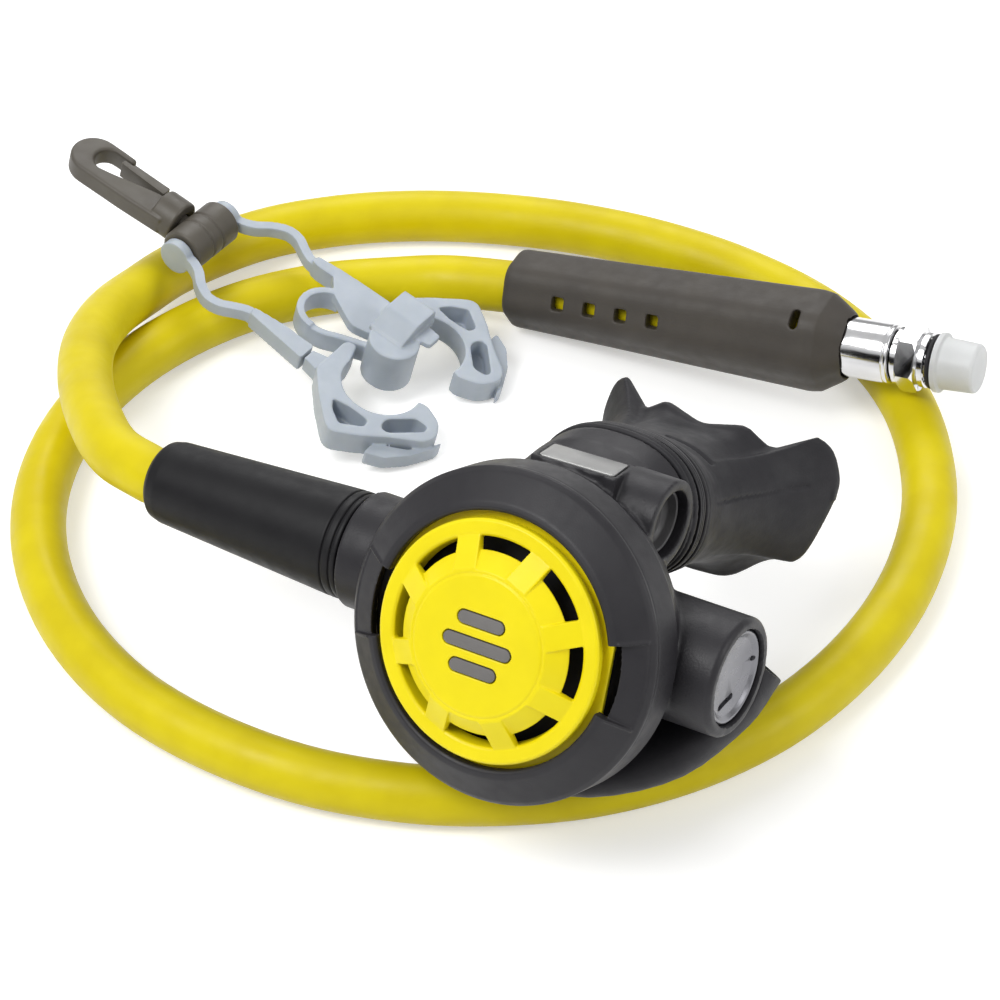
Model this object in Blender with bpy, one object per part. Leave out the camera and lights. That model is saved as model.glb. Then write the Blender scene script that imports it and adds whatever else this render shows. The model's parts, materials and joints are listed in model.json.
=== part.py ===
"""Octopus set for scuba diving: a second stage on its low-pressure hose, and a retaining clip.

The second stage leans back on its hose, which lies on the surface in one big loop and ends in a
rubber protector and a capped first-stage fitting. The clip lies inside the loop. Lengths below are
in millimetres and are turned into metres when a mesh is made.

Frames: "bench" is the surface that everything lies on. "second_stage" has its origin where the
barrel axis meets the axis of the round cover: x runs along the barrel, y runs back to the
mouthpiece and z runs up. "hose_end" and "clip" have x along their own length.
"""

import math

import bmesh
import bpy
from mathutils import Euler, Matrix, Vector

MM = 0.001
GAP = 0.3
ROUND = 32

# Where things lie on the bench
BENCH_SHIFT = (14.59, 17.72, 0.0)
STAGE_PLACE = (11.6, -88.4, 43.6)
STAGE_TURN = (-25.57, -3.36, -31.14)
HOSE_END_PLACE = (3.76, 66.52, 9.82)
HOSE_END_TIP = (107.7, 18.5, 23.0)
CLIP_PLACE = (-10.4, 27.1, -1.4003)
CLIP_HEADING = 145.3
CLIP_PITCH = 15.0

# Second stage
COVER_R = 34.4
COVER_BACK = -13.2
COVER_EDGE = -23.4
COVER_FACE = -28.0
COVER_BORE_R = 26.6
PURGE_R = 25.2
PURGE_FACE = -28.7
PURGE_DISC_R = 18.3
PURGE_SLOT_R = 21.2
SPOKES = 8
CASE_R = 33.2
CASE_RIM_R = 32.4
CASE_BORE_R = 30.2
RIM_FACE = -19.4
BARREL_R = 12.6
BARREL_BORE_R = 10.2
BARREL_RIGHT = 42.0
BARREL_LEFT = -46.0
NECK_END = 35.5
BOSS_CENTRE = (2.0, 26.2)
BOSS_R = 8.5
BOSS_BORE_R = 6.9
BOSS_FACE = 20.0
PORT_TILT = 60.0
PORT_START = (0.0, -2.0, -11.0)
PORT_DEPTH = 17.0
PORT_R = 9.8

# Breathing valve
TUBE_R = 9.9
TUBE_BORE_R = 7.5
LEVER_PIVOT = (14.0, -9.0, 0.0)

# Hose and its fittings
HOSE_R = 6.2
SLEEVE_END = -95.8
SLEEVE_R = (11.6, 8.9)
FERRULE_INNER_END = -84.2
PROTECTOR_LENGTH = 84.8
PROTECTOR_BORE_R = 6.6

# Clip
CLIP_TOP = 8.5
CLIP_BASE = 2.2
PAD_INNER = 7.9
PAD_OUTER = 10.3
JAW_CENTRE = (17.0, 8.5)
JAW_BORE_R = 9.5

FINISHES = {
    "black_plastic": ((0.045, 0.043, 0.048), 0.5, 0.0),
    "black_rubber": ((0.035, 0.034, 0.037), 0.65, 0.0),
    "dark_interior": ((0.012, 0.012, 0.013), 0.6, 0.0),
    "yellow_plastic": ((0.87, 0.73, 0.015), 0.4, 0.0),
    "yellow_rubber": ((0.66, 0.54, 0.006), 0.5, 0.0),
    "grey_inset": ((0.15, 0.145, 0.14), 0.6, 0.0),
    "olive_rubber": ((0.115, 0.102, 0.085), 0.62, 0.0),
    "chrome": ((0.75, 0.75, 0.76), 0.18, 1.0),
    "brass": ((0.62, 0.45, 0.2), 0.3, 1.0),
    "steel": ((0.6, 0.6, 0.6), 0.3, 1.0),
    "silver_plate": ((0.55, 0.55, 0.54), 0.4, 1.0),
    "clip_plastic": ((0.4, 0.44, 0.5), 0.45, 0.0),
    "cap_plastic": ((0.8, 0.81, 0.8), 0.35, 0.0),
}


def clear_scene():
    """Remove whatever objects the opened file holds."""
    for item in list(bpy.data.objects):
        bpy.data.objects.remove(item, do_unlink=True)


def material(finish):
    """Return the named finish as a Principled material, made once."""
    found = bpy.data.materials.get(finish)
    if found:
        return found
    colour, roughness, metallic = FINISHES[finish]
    made = bpy.data.materials.new(finish)
    made.use_nodes = True
    shader = made.node_tree.nodes["Principled BSDF"]
    shader.inputs["Base Color"].default_value = (*colour, 1.0)
    shader.inputs["Roughness"].default_value = roughness
    shader.inputs["Metallic"].default_value = metallic
    made.diffuse_color = (*colour, 1.0)
    return made


def empty(name, parent=None, place=(0, 0, 0), turn=(0, 0, 0)):
    """Add an empty that holds a sub-assembly or a joint's place; turn is in degrees."""
    item = bpy.data.objects.new(name, None)
    item.location = Vector(place) * MM
    item.rotation_euler = Euler([math.radians(angle) for angle in turn])
    item.parent = parent
    bpy.context.collection.objects.link(item)
    return item


def finish_object(name, bm, finish, parent):
    """Turn a bmesh in millimetres into an object.

    A finish of None makes a guide: a cutter or an addition for a Boolean, never a part.
    """
    bmesh.ops.remove_doubles(bm, verts=bm.verts, dist=1e-4)
    bmesh.ops.recalc_face_normals(bm, faces=bm.faces)
    bmesh.ops.transform(bm, matrix=Matrix.Scale(MM, 4), verts=bm.verts)
    mesh = bpy.data.meshes.new(name)
    bm.to_mesh(mesh)
    bm.free()
    mesh.shade_smooth()
    mesh.set_sharp_from_angle(angle=math.radians(35))
    item = bpy.data.objects.new(name, mesh)
    item.parent = parent
    bpy.context.collection.objects.link(item)
    if finish:
        mesh.materials.append(material(finish))
    else:
        item.hide_render = True
        item.display_type = "WIRE"
    return item


def combine(target, tool, operation="DIFFERENCE"):
    """Add an exact Boolean of the tool to the target."""
    step = target.modifiers.new(tool.name, "BOOLEAN")
    step.operation = operation
    step.solver = "EXACT"
    step.object = tool
    return target


def turned(name, profile, finish, parent, axis="X", steps=ROUND, side=(0, 0, 0)):
    """Make a solid of revolution.

    profile lists (along, radius) pairs; ends on the axis close there, others join end to end.
    axis is X, Y or Z, and side shifts the axis sideways.
    """
    bm = bmesh.new()
    verts = [bm.verts.new((along, radius, 0)) for along, radius in profile]
    edges = [bm.edges.new(pair) for pair in zip(verts, verts[1:])]
    if profile[0][1] > 0 or profile[-1][1] > 0:
        edges.append(bm.edges.new((verts[-1], verts[0])))
    bmesh.ops.spin(bm, geom=verts + edges, cent=(0, 0, 0), axis=(1, 0, 0), dvec=(0, 0, 0),
                   angle=math.tau, steps=steps, use_merge=True)
    swing = {"X": Matrix(), "Y": Matrix.Rotation(math.pi / 2, 4, "Z"),
             "Z": Matrix.Rotation(-math.pi / 2, 4, "Y")}[axis]
    bmesh.ops.transform(bm, matrix=Matrix.Translation(side) @ swing, verts=bm.verts)
    return finish_object(name, bm, finish, parent)


def rod(name, start, end, radius, finish, parent, steps=ROUND):
    """Make a plain cylinder between two points."""
    start, end = Vector(start), Vector(end)
    bm = bmesh.new()
    bmesh.ops.create_cone(bm, cap_ends=True, segments=steps, radius1=radius, radius2=radius,
                          depth=(end - start).length)
    aim = (end - start).to_track_quat("Z", "Y").to_matrix().to_4x4()
    bmesh.ops.transform(bm, matrix=Matrix.Translation((start + end) / 2) @ aim, verts=bm.verts)
    return finish_object(name, bm, finish, parent)


def block(name, low, high, finish, parent):
    """Make a box between two corners."""
    low, high = Vector(low), Vector(high)
    bm = bmesh.new()
    bmesh.ops.create_cube(bm, size=1.0)
    bmesh.ops.transform(bm, matrix=Matrix.Translation((low + high) / 2)
                        @ Matrix.Diagonal((*(high - low), 1.0)), verts=bm.verts)
    return finish_object(name, bm, finish, parent)


def skinned(name, rings, finish, parent, looped=False):
    """Skin a row of point rings of equal length; looped joins the last ring to the first."""
    bm = bmesh.new()
    rows = [[bm.verts.new(point) for point in ring] for ring in rings]
    pairs = list(zip(rows, rows[1:])) + ([(rows[-1], rows[0])] if looped else [])
    for front, back in pairs:
        for index in range(len(front)):
            after = (index + 1) % len(front)
            bm.faces.new((front[index], front[after], back[after], back[index]))
    if not looped:
        bm.faces.new(rows[0])
        bm.faces.new(rows[-1])
    return finish_object(name, bm, finish, parent)


def slab(name, outline, low, high, finish, parent, holes=(), bevel=0.0):
    """Extrude a flat outline with holes from z = low to z = high, bevelled after that if asked."""
    bm = bmesh.new()
    edges = []
    for loop in (outline, *holes):
        verts = [bm.verts.new((x, y, low)) for x, y in loop]
        edges += [bm.edges.new(pair) for pair in zip(verts, verts[1:] + verts[:1])]
    bmesh.ops.triangle_fill(bm, use_beauty=True, use_dissolve=False, edges=edges)
    lifted = bmesh.ops.extrude_face_region(bm, geom=bm.faces[:])
    top = [item for item in lifted["geom"] if isinstance(item, bmesh.types.BMVert)]
    bmesh.ops.translate(bm, vec=(0, 0, high - low), verts=top)
    item = finish_object(name, bm, finish, parent)
    if bevel:
        edge = item.modifiers.new("edges", "BEVEL")
        edge.width = bevel * MM
        edge.segments = 1
        edge.limit_method = "ANGLE"
        edge.angle_limit = math.radians(50)
    return item


def arc(centre, radius, start, end, count):
    """Points along an arc in a plane, angles in degrees."""
    angles = [math.radians(start + (end - start) * i / (count - 1)) for i in range(count)]
    return [(centre[0] + radius * math.cos(a), centre[1] + radius * math.sin(a)) for a in angles]


def oval(y, centre_z, half_width, half_height, steps=ROUND, power=2.3, bow=0.0):
    """A superellipse ring that faces along y; bow sweeps its sides back by x squared over bow."""
    ring = []
    for index in range(steps):
        angle = math.tau * index / steps
        c, s = math.cos(angle), math.sin(angle)
        x = half_width * math.copysign(abs(c) ** (2 / power), c)
        z = centre_z + half_height * math.copysign(abs(s) ** (2 / power), s)
        ring.append((x, y + (x * x / bow if bow else 0.0), z))
    return ring


def smooth_path(points, per_span):
    """Points along a Catmull-Rom curve through the given ones."""
    points = [Vector(point) for point in points]
    ends = [points[0] * 2 - points[1], *points, points[-1] * 2 - points[-2]]
    path = []
    for before, start, end, after in zip(ends, ends[1:], ends[2:], ends[3:]):
        for step in range(per_span):
            t = step / per_span
            path.append(0.5 * (2 * start + (end - before) * t
                               + (2 * before - 5 * start + 4 * end - after) * t ** 2
                               + (3 * start - before - 3 * end + after) * t ** 3))
    return [*path, points[-1]]


def tube(name, points, radius, finish, parent, resolution=2):
    """Make a round tube along points, as a bevelled curve with capped ends."""
    curve = bpy.data.curves.new(name, "CURVE")
    curve.dimensions = "3D"
    curve.bevel_depth = radius * MM
    curve.bevel_resolution = resolution
    curve.use_fill_caps = True
    spline = curve.splines.new("POLY")
    spline.points.add(len(points) - 1)
    for slot, point in zip(spline.points, points):
        slot.co = (*(Vector(point) * MM), 1.0)
    curve.materials.append(material(finish))
    item = bpy.data.objects.new(name, curve)
    item.parent = parent
    bpy.context.collection.objects.link(item)
    return item


# ---------------------------------------------------------------- second stage: shells

def port_point(depth, across=0.0):
    """A point on the exhaust port's axis, or `across` it towards the mouthpiece side."""
    tilt = math.radians(PORT_TILT)
    _, y, z = PORT_START
    return Vector((0, y + depth * math.sin(tilt) + across * math.cos(tilt),
                   z - depth * math.cos(tilt) + across * math.sin(tilt)))


def make_case(stage):
    """The moulded body: round cup, barrel, neck, blank boss and exhaust port in one piece."""
    case = turned("case", [(RIM_FACE, 0), (RIM_FACE, CASE_RIM_R), (-12.9, CASE_RIM_R), (-12.9, CASE_R),
                           (-4, CASE_R), (3, 31.0), (9, 26.0), (12.5, 19.0), (13.6, 10.0), (13.6, 0)],
                  "black_plastic", stage, axis="Y", steps=40)
    combine(case, rod("case_barrel", (BARREL_LEFT, 0, 0), (BARREL_RIGHT, 0, 0), BARREL_R, None, stage),
            "UNION")
    neck = [oval(y, z, a, b, 36) for y, z, a, b in (
        (2, 19.5, 21.5, 12.0), (10, 22.6, 19.5, 14.0), (17, 23.4, 18.2, 14.6), (21.8, 22.9, 17.6, 14.6),
        (22.0, 22.2, 16.0, 12.6), (NECK_END, 20.4, 16.0, 12.6))]
    combine(case, skinned("case_neck", neck, None, stage), "UNION")
    y, z = BOSS_CENTRE
    combine(case, rod("case_boss", (9.6, y, z), (BOSS_FACE, y, z), BOSS_R, None, stage, 32), "UNION")
    combine(case, rod("case_port", port_point(5), port_point(PORT_DEPTH), PORT_R, None, stage, 32), "UNION")

    combine(case, turned("case_hollow", [(RIM_FACE - 3, 0), (RIM_FACE - 3, CASE_BORE_R), (-3, CASE_BORE_R),
                                         (2, 28.6), (7.4, 24.0), (10.6, 18.0), (11.4, 9.0), (11.4, 0)],
                         None, stage, axis="Y", steps=40))
    combine(case, rod("case_bore", (BARREL_LEFT - 2, 0, 0), (BARREL_RIGHT + 2, 0, 0), BARREL_BORE_R,
                      None, stage))
    throat = [oval(y, z, a, b, 32) for y, z, a, b in (
        (0, 16.0, 15.0, 6.0), (12, 21.0, 13.5, 10.0), (NECK_END + 1, 20.4, 13.5, 10.0))]
    combine(case, skinned("case_throat", throat, None, stage))
    combine(case, rod("case_boss_bore", (13, y, z), (BOSS_FACE + 2, y, z), BOSS_BORE_R, None, stage, 32))
    combine(case, rod("case_port_bore", port_point(2), port_point(PORT_DEPTH + 2), PORT_R - 1.8,
                      None, stage, 32))
    add_valve_seat_web(case, stage)
    return case


def add_valve_seat_web(case, stage):
    """A cross with a hub in the exhaust port, which holds the mushroom valve's stem."""
    web = rod("case_web", port_point(PORT_DEPTH - 2.6), port_point(PORT_DEPTH - 0.6), 2.5, None, stage, 20)
    for index, turn in enumerate((45, 135)):
        reach = PORT_R - 0.9
        bar = block(f"case_web_bar_{index}", (-reach, -0.7, -0.7), (reach, 0.7, 0.7), None, stage)
        bar.location = port_point(PORT_DEPTH - 1.5) * MM
        bar.rotation_euler = (Matrix.Rotation(math.radians(PORT_TILT), 3, "X")
                              @ Matrix.Rotation(math.radians(turn), 3, "Z")).to_euler()
        combine(web, bar, "UNION")
    combine(web, rod("case_hub_bore", port_point(PORT_DEPTH - 5), port_point(PORT_DEPTH + 2), 1.4,
                     None, stage, 16))
    combine(case, web, "UNION")


def make_cover_ring(stage):
    """The black clamp ring round the purge cover, with a finger recess on each side."""
    ring = turned("cover_ring", [
        (COVER_BACK, COVER_R - 0.5), (COVER_BACK - 0.6, COVER_R), (COVER_EDGE + 0.8, COVER_R),
        (COVER_EDGE - 0.4, COVER_R - 0.9), (-27.7, 28.0), (COVER_FACE, 27.2), (-27.6, COVER_BORE_R),
        (-25.3, COVER_BORE_R), (-25.3, 29.3), (-22.2, 29.3), (-21.9, 30.0), (-21.9, 32.7),
        (COVER_BACK, 32.7)], "black_plastic", stage, axis="Y", steps=56)
    for side in (-1, 1):
        sections = []
        for turn in (-15.5, -7.75, 0.0, 7.75, 15.5):
            c, n = side * math.cos(math.radians(turn)), math.sin(math.radians(turn))
            sections.append([(radius * c, y, radius * n) for radius, y in (
                (24.0, -40.0), (24.0, -25.0), (28.3, -25.0), (28.3, -26.3), (36.0, -20.8), (36.0, -40.0))])
        combine(ring, skinned(f"recess_{side}", sections, None, stage))
    return ring


def make_purge_cover(stage):
    """The yellow push cover: an outer ring, eight sloping spokes and a centre disc, in one piece."""
    slide = empty("purge_axis", stage, (0, PURGE_FACE, 0))
    cover = turned("purge_cover", [
        (-26.8, 0), (-26.8, 17.0), (-24.6, 19.6), (-24.6, 22.0), (-23.9, 23.4), (-23.9, 28.8),
        (-24.9, 28.8), (-25.0, PURGE_R), (-28.0, PURGE_R), (PURGE_FACE, PURGE_R - 0.8), (PURGE_FACE, 22.6),
        (-27.3, PURGE_SLOT_R), (-26.4, 20.6), (-28.0, PURGE_DISC_R), (PURGE_FACE + 0.2, PURGE_DISC_R - 1.0),
        (PURGE_FACE + 0.2, 14.2), (PURGE_FACE + 0.4, 13.9), (PURGE_FACE, 13.2), (PURGE_FACE, 0)],
        "yellow_plastic", slide, axis="Y", steps=48)
    cover.location = Vector((0, -PURGE_FACE, 0)) * MM
    half_spoke = 6.5
    for index in range(SPOKES):
        middle = 360 * index / SPOKES
        low, high = middle - 22.5 + half_spoke, middle + 22.5 - half_spoke
        outline = arc((0, 0), PURGE_DISC_R + 0.1, low, high, 4) + arc((0, 0), PURGE_SLOT_R, high, low, 4)
        slot = slab(f"purge_slot_{index}", outline, 0, 12, None, slide)
        slot.rotation_euler = (math.radians(90), 0, 0)
        slot.location = Vector((0, 8, 0)) * MM
        combine(cover, slot)
    post = rod("purge_post", (0, -27.2, 0), (0, -22.8, 0), 3.2, None, slide, 20)
    post.location = cover.location
    combine(cover, post, "UNION")
    return slide


def make_badge(slide):
    """Three plain grip bars let into the middle of the purge cover."""
    pocket_depth = 0.9
    for index, (offset, half) in enumerate(((-5.0, 5.2), (0.0, 7.6), (5.0, 5.2))):
        for name, grow, finish in ((f"bar_pocket_{index}", GAP, None),
                                   (f"grip_bar_{index}", 0.0, "grey_inset")):
            outline = (arc((half - 1.3, offset), 1.3 + grow, -90, 90, 6)
                       + arc((1.3 - half, offset), 1.3 + grow, 90, 270, 6))
            front = 1.5 if finish is None else 0.0
            back = pocket_depth + (GAP if finish is None else 0.0)
            bar = slab(name, outline, -back, front, finish, slide)
            bar.rotation_euler = (math.radians(90), 0, 0)
            if finish is None:
                combine(bpy.data.objects["purge_cover"], bar)


# ---------------------------------------------------------------- second stage: breathing valve

def make_diaphragm(stage):
    """Flexible membrane, its stiff centre plate and the slip washer in front of it."""
    turned("diaphragm", [
        (-19.7, 32.2), (-20.7, 32.2), (-20.7, 29.8), (-20.2, 27.6), (-18.6, 26.0), (-18.4, 23.5),
        (-20.0, 21.5), (-20.2, 12.4), (-19.5, 12.4), (-19.3, 21.2), (-17.7, 23.2), (-17.9, 26.4),
        (-19.6, 28.4)], "black_rubber", stage, axis="Y", steps=32)
    turned("slip_washer", [(-21.0, 30.2), (-21.6, 30.2), (-21.6, 32.3), (-21.0, 32.3)],
           "cap_plastic", stage, axis="Y", steps=32)
    slide = empty("diaphragm_axis", stage, (0, -20.0, 0))
    plate = turned("diaphragm_plate", [
        (-19.4, 0), (-19.4, 12.0), (-20.3, 12.0), (-20.3, 5.5), (-22.5, 4.6), (-22.5, 0)],
        "dark_interior", slide, axis="Y", steps=32)
    plate.location = Vector((0, 20.0, 0)) * MM


def make_valve_tube(stage):
    """The metal valve tube right through the barrel, with a slot for the lever."""
    tube_body = turned("valve_tube", [
        (-45.4, 7.0), (-45.4, TUBE_R), (34.0, TUBE_R), (34.0, TUBE_BORE_R), (-13.0, TUBE_BORE_R),
        (-13.0, 6.2), (-27.0, 6.2), (-27.0, 7.0)], "brass", stage, steps=32)
    combine(tube_body, block("lever_slot", (9.0, -12.0, -5.6), (20.5, -1.5, 5.6), None, stage))
    combine(tube_body, block("air_slot", (-6.0, 3.0, -3.5), (8.0, 12.0, 3.5), None, stage))
    turned("orifice", [(-26.6, 2.6), (-26.6, 5.9), (-15.6, 5.9), (-14.6, 3.9), (-14.2, 3.2), (-14.2, 2.6)],
           "brass", stage, steps=24)
    turned("end_plug", [(36.4, 0), (36.4, 9.2), (38.4, 9.2), (38.4, 8.3), (39.4, 8.3), (39.4, 9.9),
                        (41.0, 9.9), (41.2, 9.4), (40.3, 8.0), (39.8, 0)], "chrome", stage, steps=28)
    cut_plug_marks(stage)
    turned("end_plug_o_ring", [(38.6, 8.5), (39.2, 8.5), (39.2, 9.9), (38.6, 9.9)], "black_rubber", stage,
           steps=32)


def cut_plug_marks(stage):
    """A key slot near the rim of the end plug and a small bleed hole opposite."""
    plug = bpy.data.objects["end_plug"]
    slot = block("key_slot", (39.0, -1.2, -0.7), (44.0, 1.2, 0.7), None, stage)
    slot.location = Vector((0, -4.6, -4.6)) * MM
    slot.rotation_euler = (math.radians(40), 0, 0)
    combine(plug, slot)
    combine(plug, rod("bleed_hole", (39.0, 6.4, 3.6), (44.0, 6.4, 3.6), 0.6, None, stage, 12))


def make_poppet(stage):
    """Poppet with its rubber seat, stem washer, spring and the collar that guides the stem."""
    slide = empty("poppet_axis", stage)
    turned("poppet", [(-12.6, 0), (-12.6, 5.2), (-3.6, 5.2), (-3.6, 1.7), (14.6, 1.7), (14.6, 4.8),
                      (15.6, 4.8), (15.6, 1.7), (19.0, 1.7), (19.0, 0)], "cap_plastic", slide, steps=20)
    turned("poppet_seat", [(-13.9, 0), (-13.9, 4.6), (-12.9, 4.6), (-12.9, 0)], "black_rubber", slide,
           steps=20)
    turned("stem_nut", [(15.9, 2.4), (15.9, 3.6), (18.2, 3.6), (18.2, 2.4)], "brass", slide, steps=6)
    turned("spring_collar", [(7.4, 2.2), (7.4, 7.2), (8.7, 7.2), (8.7, 2.2)], "steel", stage, steps=24)
    turns, start, end, radius = 6, -2.5, 6.7, 3.5
    count = turns * 8
    helix = [(start + (end - start) * i / count, radius * math.cos(math.tau * i / 8),
              radius * math.sin(math.tau * i / 8)) for i in range(count + 1)]
    tube("poppet_spring", helix, 0.35, "steel", stage, resolution=0)


def make_lever(stage):
    """Sheet steel lever: two feet behind the stem washer, and an arm up to the diaphragm plate."""
    pivot = empty("lever_axis", stage, LEVER_PIVOT)
    x0, y0, _ = LEVER_PIVOT
    arm = slab("lever", [(x0 + 0.5, y0 + 0.7), (x0 - 1.2, y0 + 0.5), (x0 - 6.0, y0 - 4.2),
                         (x0 - 14.0, -17.6), (-7.0, -18.3), (-7.2, -19.0), (x0 - 15.0, -18.4),
                         (x0 - 7.0, y0 - 5.2), (x0 - 1.4, y0 - 0.7), (x0 + 0.5, y0 - 0.7)], -1.6, 1.6, "steel",
               pivot)
    arm.location = -Vector(LEVER_PIVOT) * MM
    bridge = block("lever_bridge", (x0 - 0.6, y0 - 0.6, -4.6), (x0 + 0.6, y0 + 0.6, 4.6), None, pivot)
    bridge.location = arm.location
    combine(arm, bridge, "UNION")
    for index, side in enumerate((-1, 1)):
        foot = block(f"lever_foot_{index}", (x0 - 0.55, y0, side * 3.6 - 0.8),
                     (x0 + 0.25, -3.8, side * 3.6 + 0.8), None, pivot)
        foot.location = arm.location
        combine(arm, foot, "UNION")


def make_exhaust(stage):
    """Mushroom valve under its seat, and the rubber tee that leads the bubbles to both sides."""
    tilt = math.radians(PORT_TILT)
    lift = empty("exhaust_axis", stage, port_point(PORT_DEPTH), (0, 0, 0))
    lift.rotation_euler = (tilt, 0, 0)
    turned("exhaust_valve", [(-6.2, 0), (-5.8, 0.9), (-5.0, 1.9), (-4.2, 1.9), (-4.0, 1.0), (0.3, 1.0),
                             (0.3, 8.3), (0.8, 8.6), (1.2, 8.3), (1.6, 1.6), (1.6, 0)],
           "black_rubber", lift, axis="Z", steps=28).rotation_euler = (math.pi, 0, 0)
    make_tee(stage)


def make_tee(stage):
    """The banana-shaped exhaust duct: open horns at both ends, cut away where the case fits it."""
    stations = ((-37.5, 21, -1.0, 9.5, 6.5), (-33.5, 16.5, -10.5, 12.5, 7.0), (-26, 12, -17.4, 17, 7.2),
                (-14, 8.8, -21.8, 20.8, 7.4), (0, 8.6, -23.2, 21.5, 7.2), (14, 8.8, -21.8, 20.8, 7.4),
                (26, 12, -17.4, 17, 7.2), (33.5, 16.5, -10.5, 12.5, 7.0), (37.5, 21, -1.0, 9.5, 6.5))
    outer = skinned("exhaust_tee", duct_rings(stations, 0.0), "black_rubber", stage)
    combine(outer, skinned("tee_hollow", duct_rings(stations, 1.5, overrun=3.0), None, stage))
    combine(outer, turned("tee_case_fit", [
        (-30, 0), (-30, 37), (COVER_BACK + GAP, 37), (COVER_BACK + GAP, CASE_R + GAP), (-4, CASE_R + GAP),
        (3.1, 31.3), (9.2, 26.3), (12.8, 19.2), (13.9, 10.0), (13.9, 0)], None, stage, axis="Y", steps=40))
    combine(outer, rod("tee_barrel_fit", (-60, 0, 0), (60, 0, 0), BARREL_R + GAP, None, stage))
    combine(outer, rod("tee_port_fit", port_point(4), port_point(PORT_DEPTH + 0.2), PORT_R + GAP, None,
                       stage, 32))
    combine(outer, rod("tee_valve_fit", port_point(PORT_DEPTH - 1), port_point(PORT_DEPTH + 3.1), 9.5, None,
                       stage, 32))
    return outer


def duct_rings(stations, wall, overrun=0.0, steps=20):
    """Rings of the duct at each station (x, y, z, half_length, half_height), `wall` inside it."""
    back = Vector((0, 0.902, 0.43))
    centres = [Vector(station[:3]) for station in stations]
    rings = []
    for index, (station, centre) in enumerate(zip(stations, centres)):
        ahead = centres[min(index + 1, len(centres) - 1)] - centres[max(index - 1, 0)]
        if overrun and index in (0, len(centres) - 1):
            centre = centre + ahead.normalized() * (overrun if index else -overrun)
        up = back.cross(ahead).normalized()
        across = ahead.cross(up).normalized()
        length, height = station[3] - wall, station[4] - wall
        rings.append([centre + across * length * math.cos(a) + up * height * math.sin(a)
                      for a in (math.tau * i / steps for i in range(steps))])
    return rings


# ---------------------------------------------------------------- second stage: mouthpiece

FLANGE_EDGE = ((28.3, 25.0), (27.6, 29.6), (25.4, 33.4), (21.6, 35.4), (18.2, 33.6), (14.0, 33.3),
               (8.0, 34.4), (0.0, 33.4))
FLANGE_FOOT = ((27.0, 17.6), (24.9, 10.2), (22.6, 7.8), (20.4, 8.3), (17.6, 7.0), (12.2, 2.8), (6.5, 2.3),
               (0.0, 2.4))
FLANGE_BOW = 66.0
FLANGE_FACE = 52.0


def flange_ring(y, inset=0.0, steps=ROUND):
    """The wavy outline of the mouthpiece flange, started on the right and going over the top."""
    right = [*reversed(FLANGE_FOOT), *FLANGE_EDGE]
    whole = right + [(-x, z) for x, z in reversed(right[1:-1])]
    start = whole.index(FLANGE_EDGE[0])
    whole = whole[start:] + whole[:start]
    closed = [(x, z, 0) for x, z in whole]
    path = smooth_path([closed[-1], *closed, closed[0], closed[1]], 8)[8:8 * (len(closed) + 1)]
    middle = 18.5
    ring = []
    for index in range(steps):
        angle = math.tau * index / steps
        point = min(path, key=lambda p: abs(math.remainder(
            math.atan2((p[1] - middle) / 16.5, p[0] / 27.0) - angle, math.tau)))
        shrink = 1 - inset / max(1.0, math.hypot(point[0], point[1] - middle))
        x, z = point[0] * shrink, middle + (point[1] - middle) * shrink
        ring.append((x, y + x * x / FLANGE_BOW, z))
    return ring


def blend_rings(first, second, share):
    """A ring part of the way from one ring to another."""
    return [Vector(a).lerp(Vector(b), share) for a, b in zip(first, second)]


def make_mouthpiece(stage):
    """Soft mouthpiece: collar on the neck, bell, wavy flange, through bore and two bite tabs."""
    outer = [oval(y, z, a, b) for y, z, a, b in (
        (22.3, 22.2, 18.3, 15.0), (25.6, 21.8, 18.9, 15.5), (26.2, 21.7, 17.6, 14.2),
        (30.2, 21.2, 17.6, 14.2), (30.8, 21.1, 18.9, 15.5), (34.0, 20.6, 18.6, 15.0),
        (38.0, 20.2, 18.2, 14.2))]
    flange = flange_ring(FLANGE_FACE)
    outer += [blend_rings(oval(y, z, a, b), flange, share) for y, z, a, b, share in (
        (43.0, 19.6, 18.6, 13.8, 0.08), (47.5, 19.2, 20.0, 13.6, 0.3), (50.5, 18.8, 22.0, 13.8, 0.65))]
    outer += [flange_ring(FLANGE_FACE + depth, inset) for depth, inset in ((0.2, 0), (2.4, 0), (2.9, 1.2))]
    back = FLANGE_FACE + 2.6
    inner = [blend_rings(flange_ring(back, 3.0), oval(back, 18.5, 13.5, 8.5), share) for share in (0.5, 1.0)]
    inner += [oval(37.0, 20.2, 13.8, 10.0), oval(36.0, 20.4, 16.3, 12.9), oval(22.3, 22.2, 16.3, 12.9)]
    piece = skinned("mouthpiece", outer + inner, "black_rubber", stage, looped=True)
    for index, side in enumerate((-1, 1)):
        tab = [[(side * x, y + (side * x) ** 2 / FLANGE_BOW, z) for x, z in outline] for y, outline in (
            (54.0, ((16.0, 11.0), (22.4, 11.0), (22.4, 26.0), (16.0, 26.0))),
            (65.0, ((17.2, 11.6), (20.6, 11.6), (20.6, 25.4), (17.2, 25.4))),
            (67.0, ((15.8, 10.8), (22.0, 10.8), (22.0, 26.2), (15.8, 26.2))),
            (71.5, ((16.6, 11.6), (21.2, 11.6), (21.2, 25.4), (16.6, 25.4))))]
        combine(piece, skinned(f"bite_tab_{index}", tab, None, stage), "UNION")
    rings = [oval(y, z, a, b) for y, z, a, b in (
        (26.6, 21.6, 19.0, 15.6), (29.8, 21.2, 19.0, 15.6), (29.8, 21.2, 18.0, 14.6),
        (26.6, 21.6, 18.0, 14.6))]
    skinned("mouthpiece_tie", rings, "black_plastic", stage, looped=True)


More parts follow.
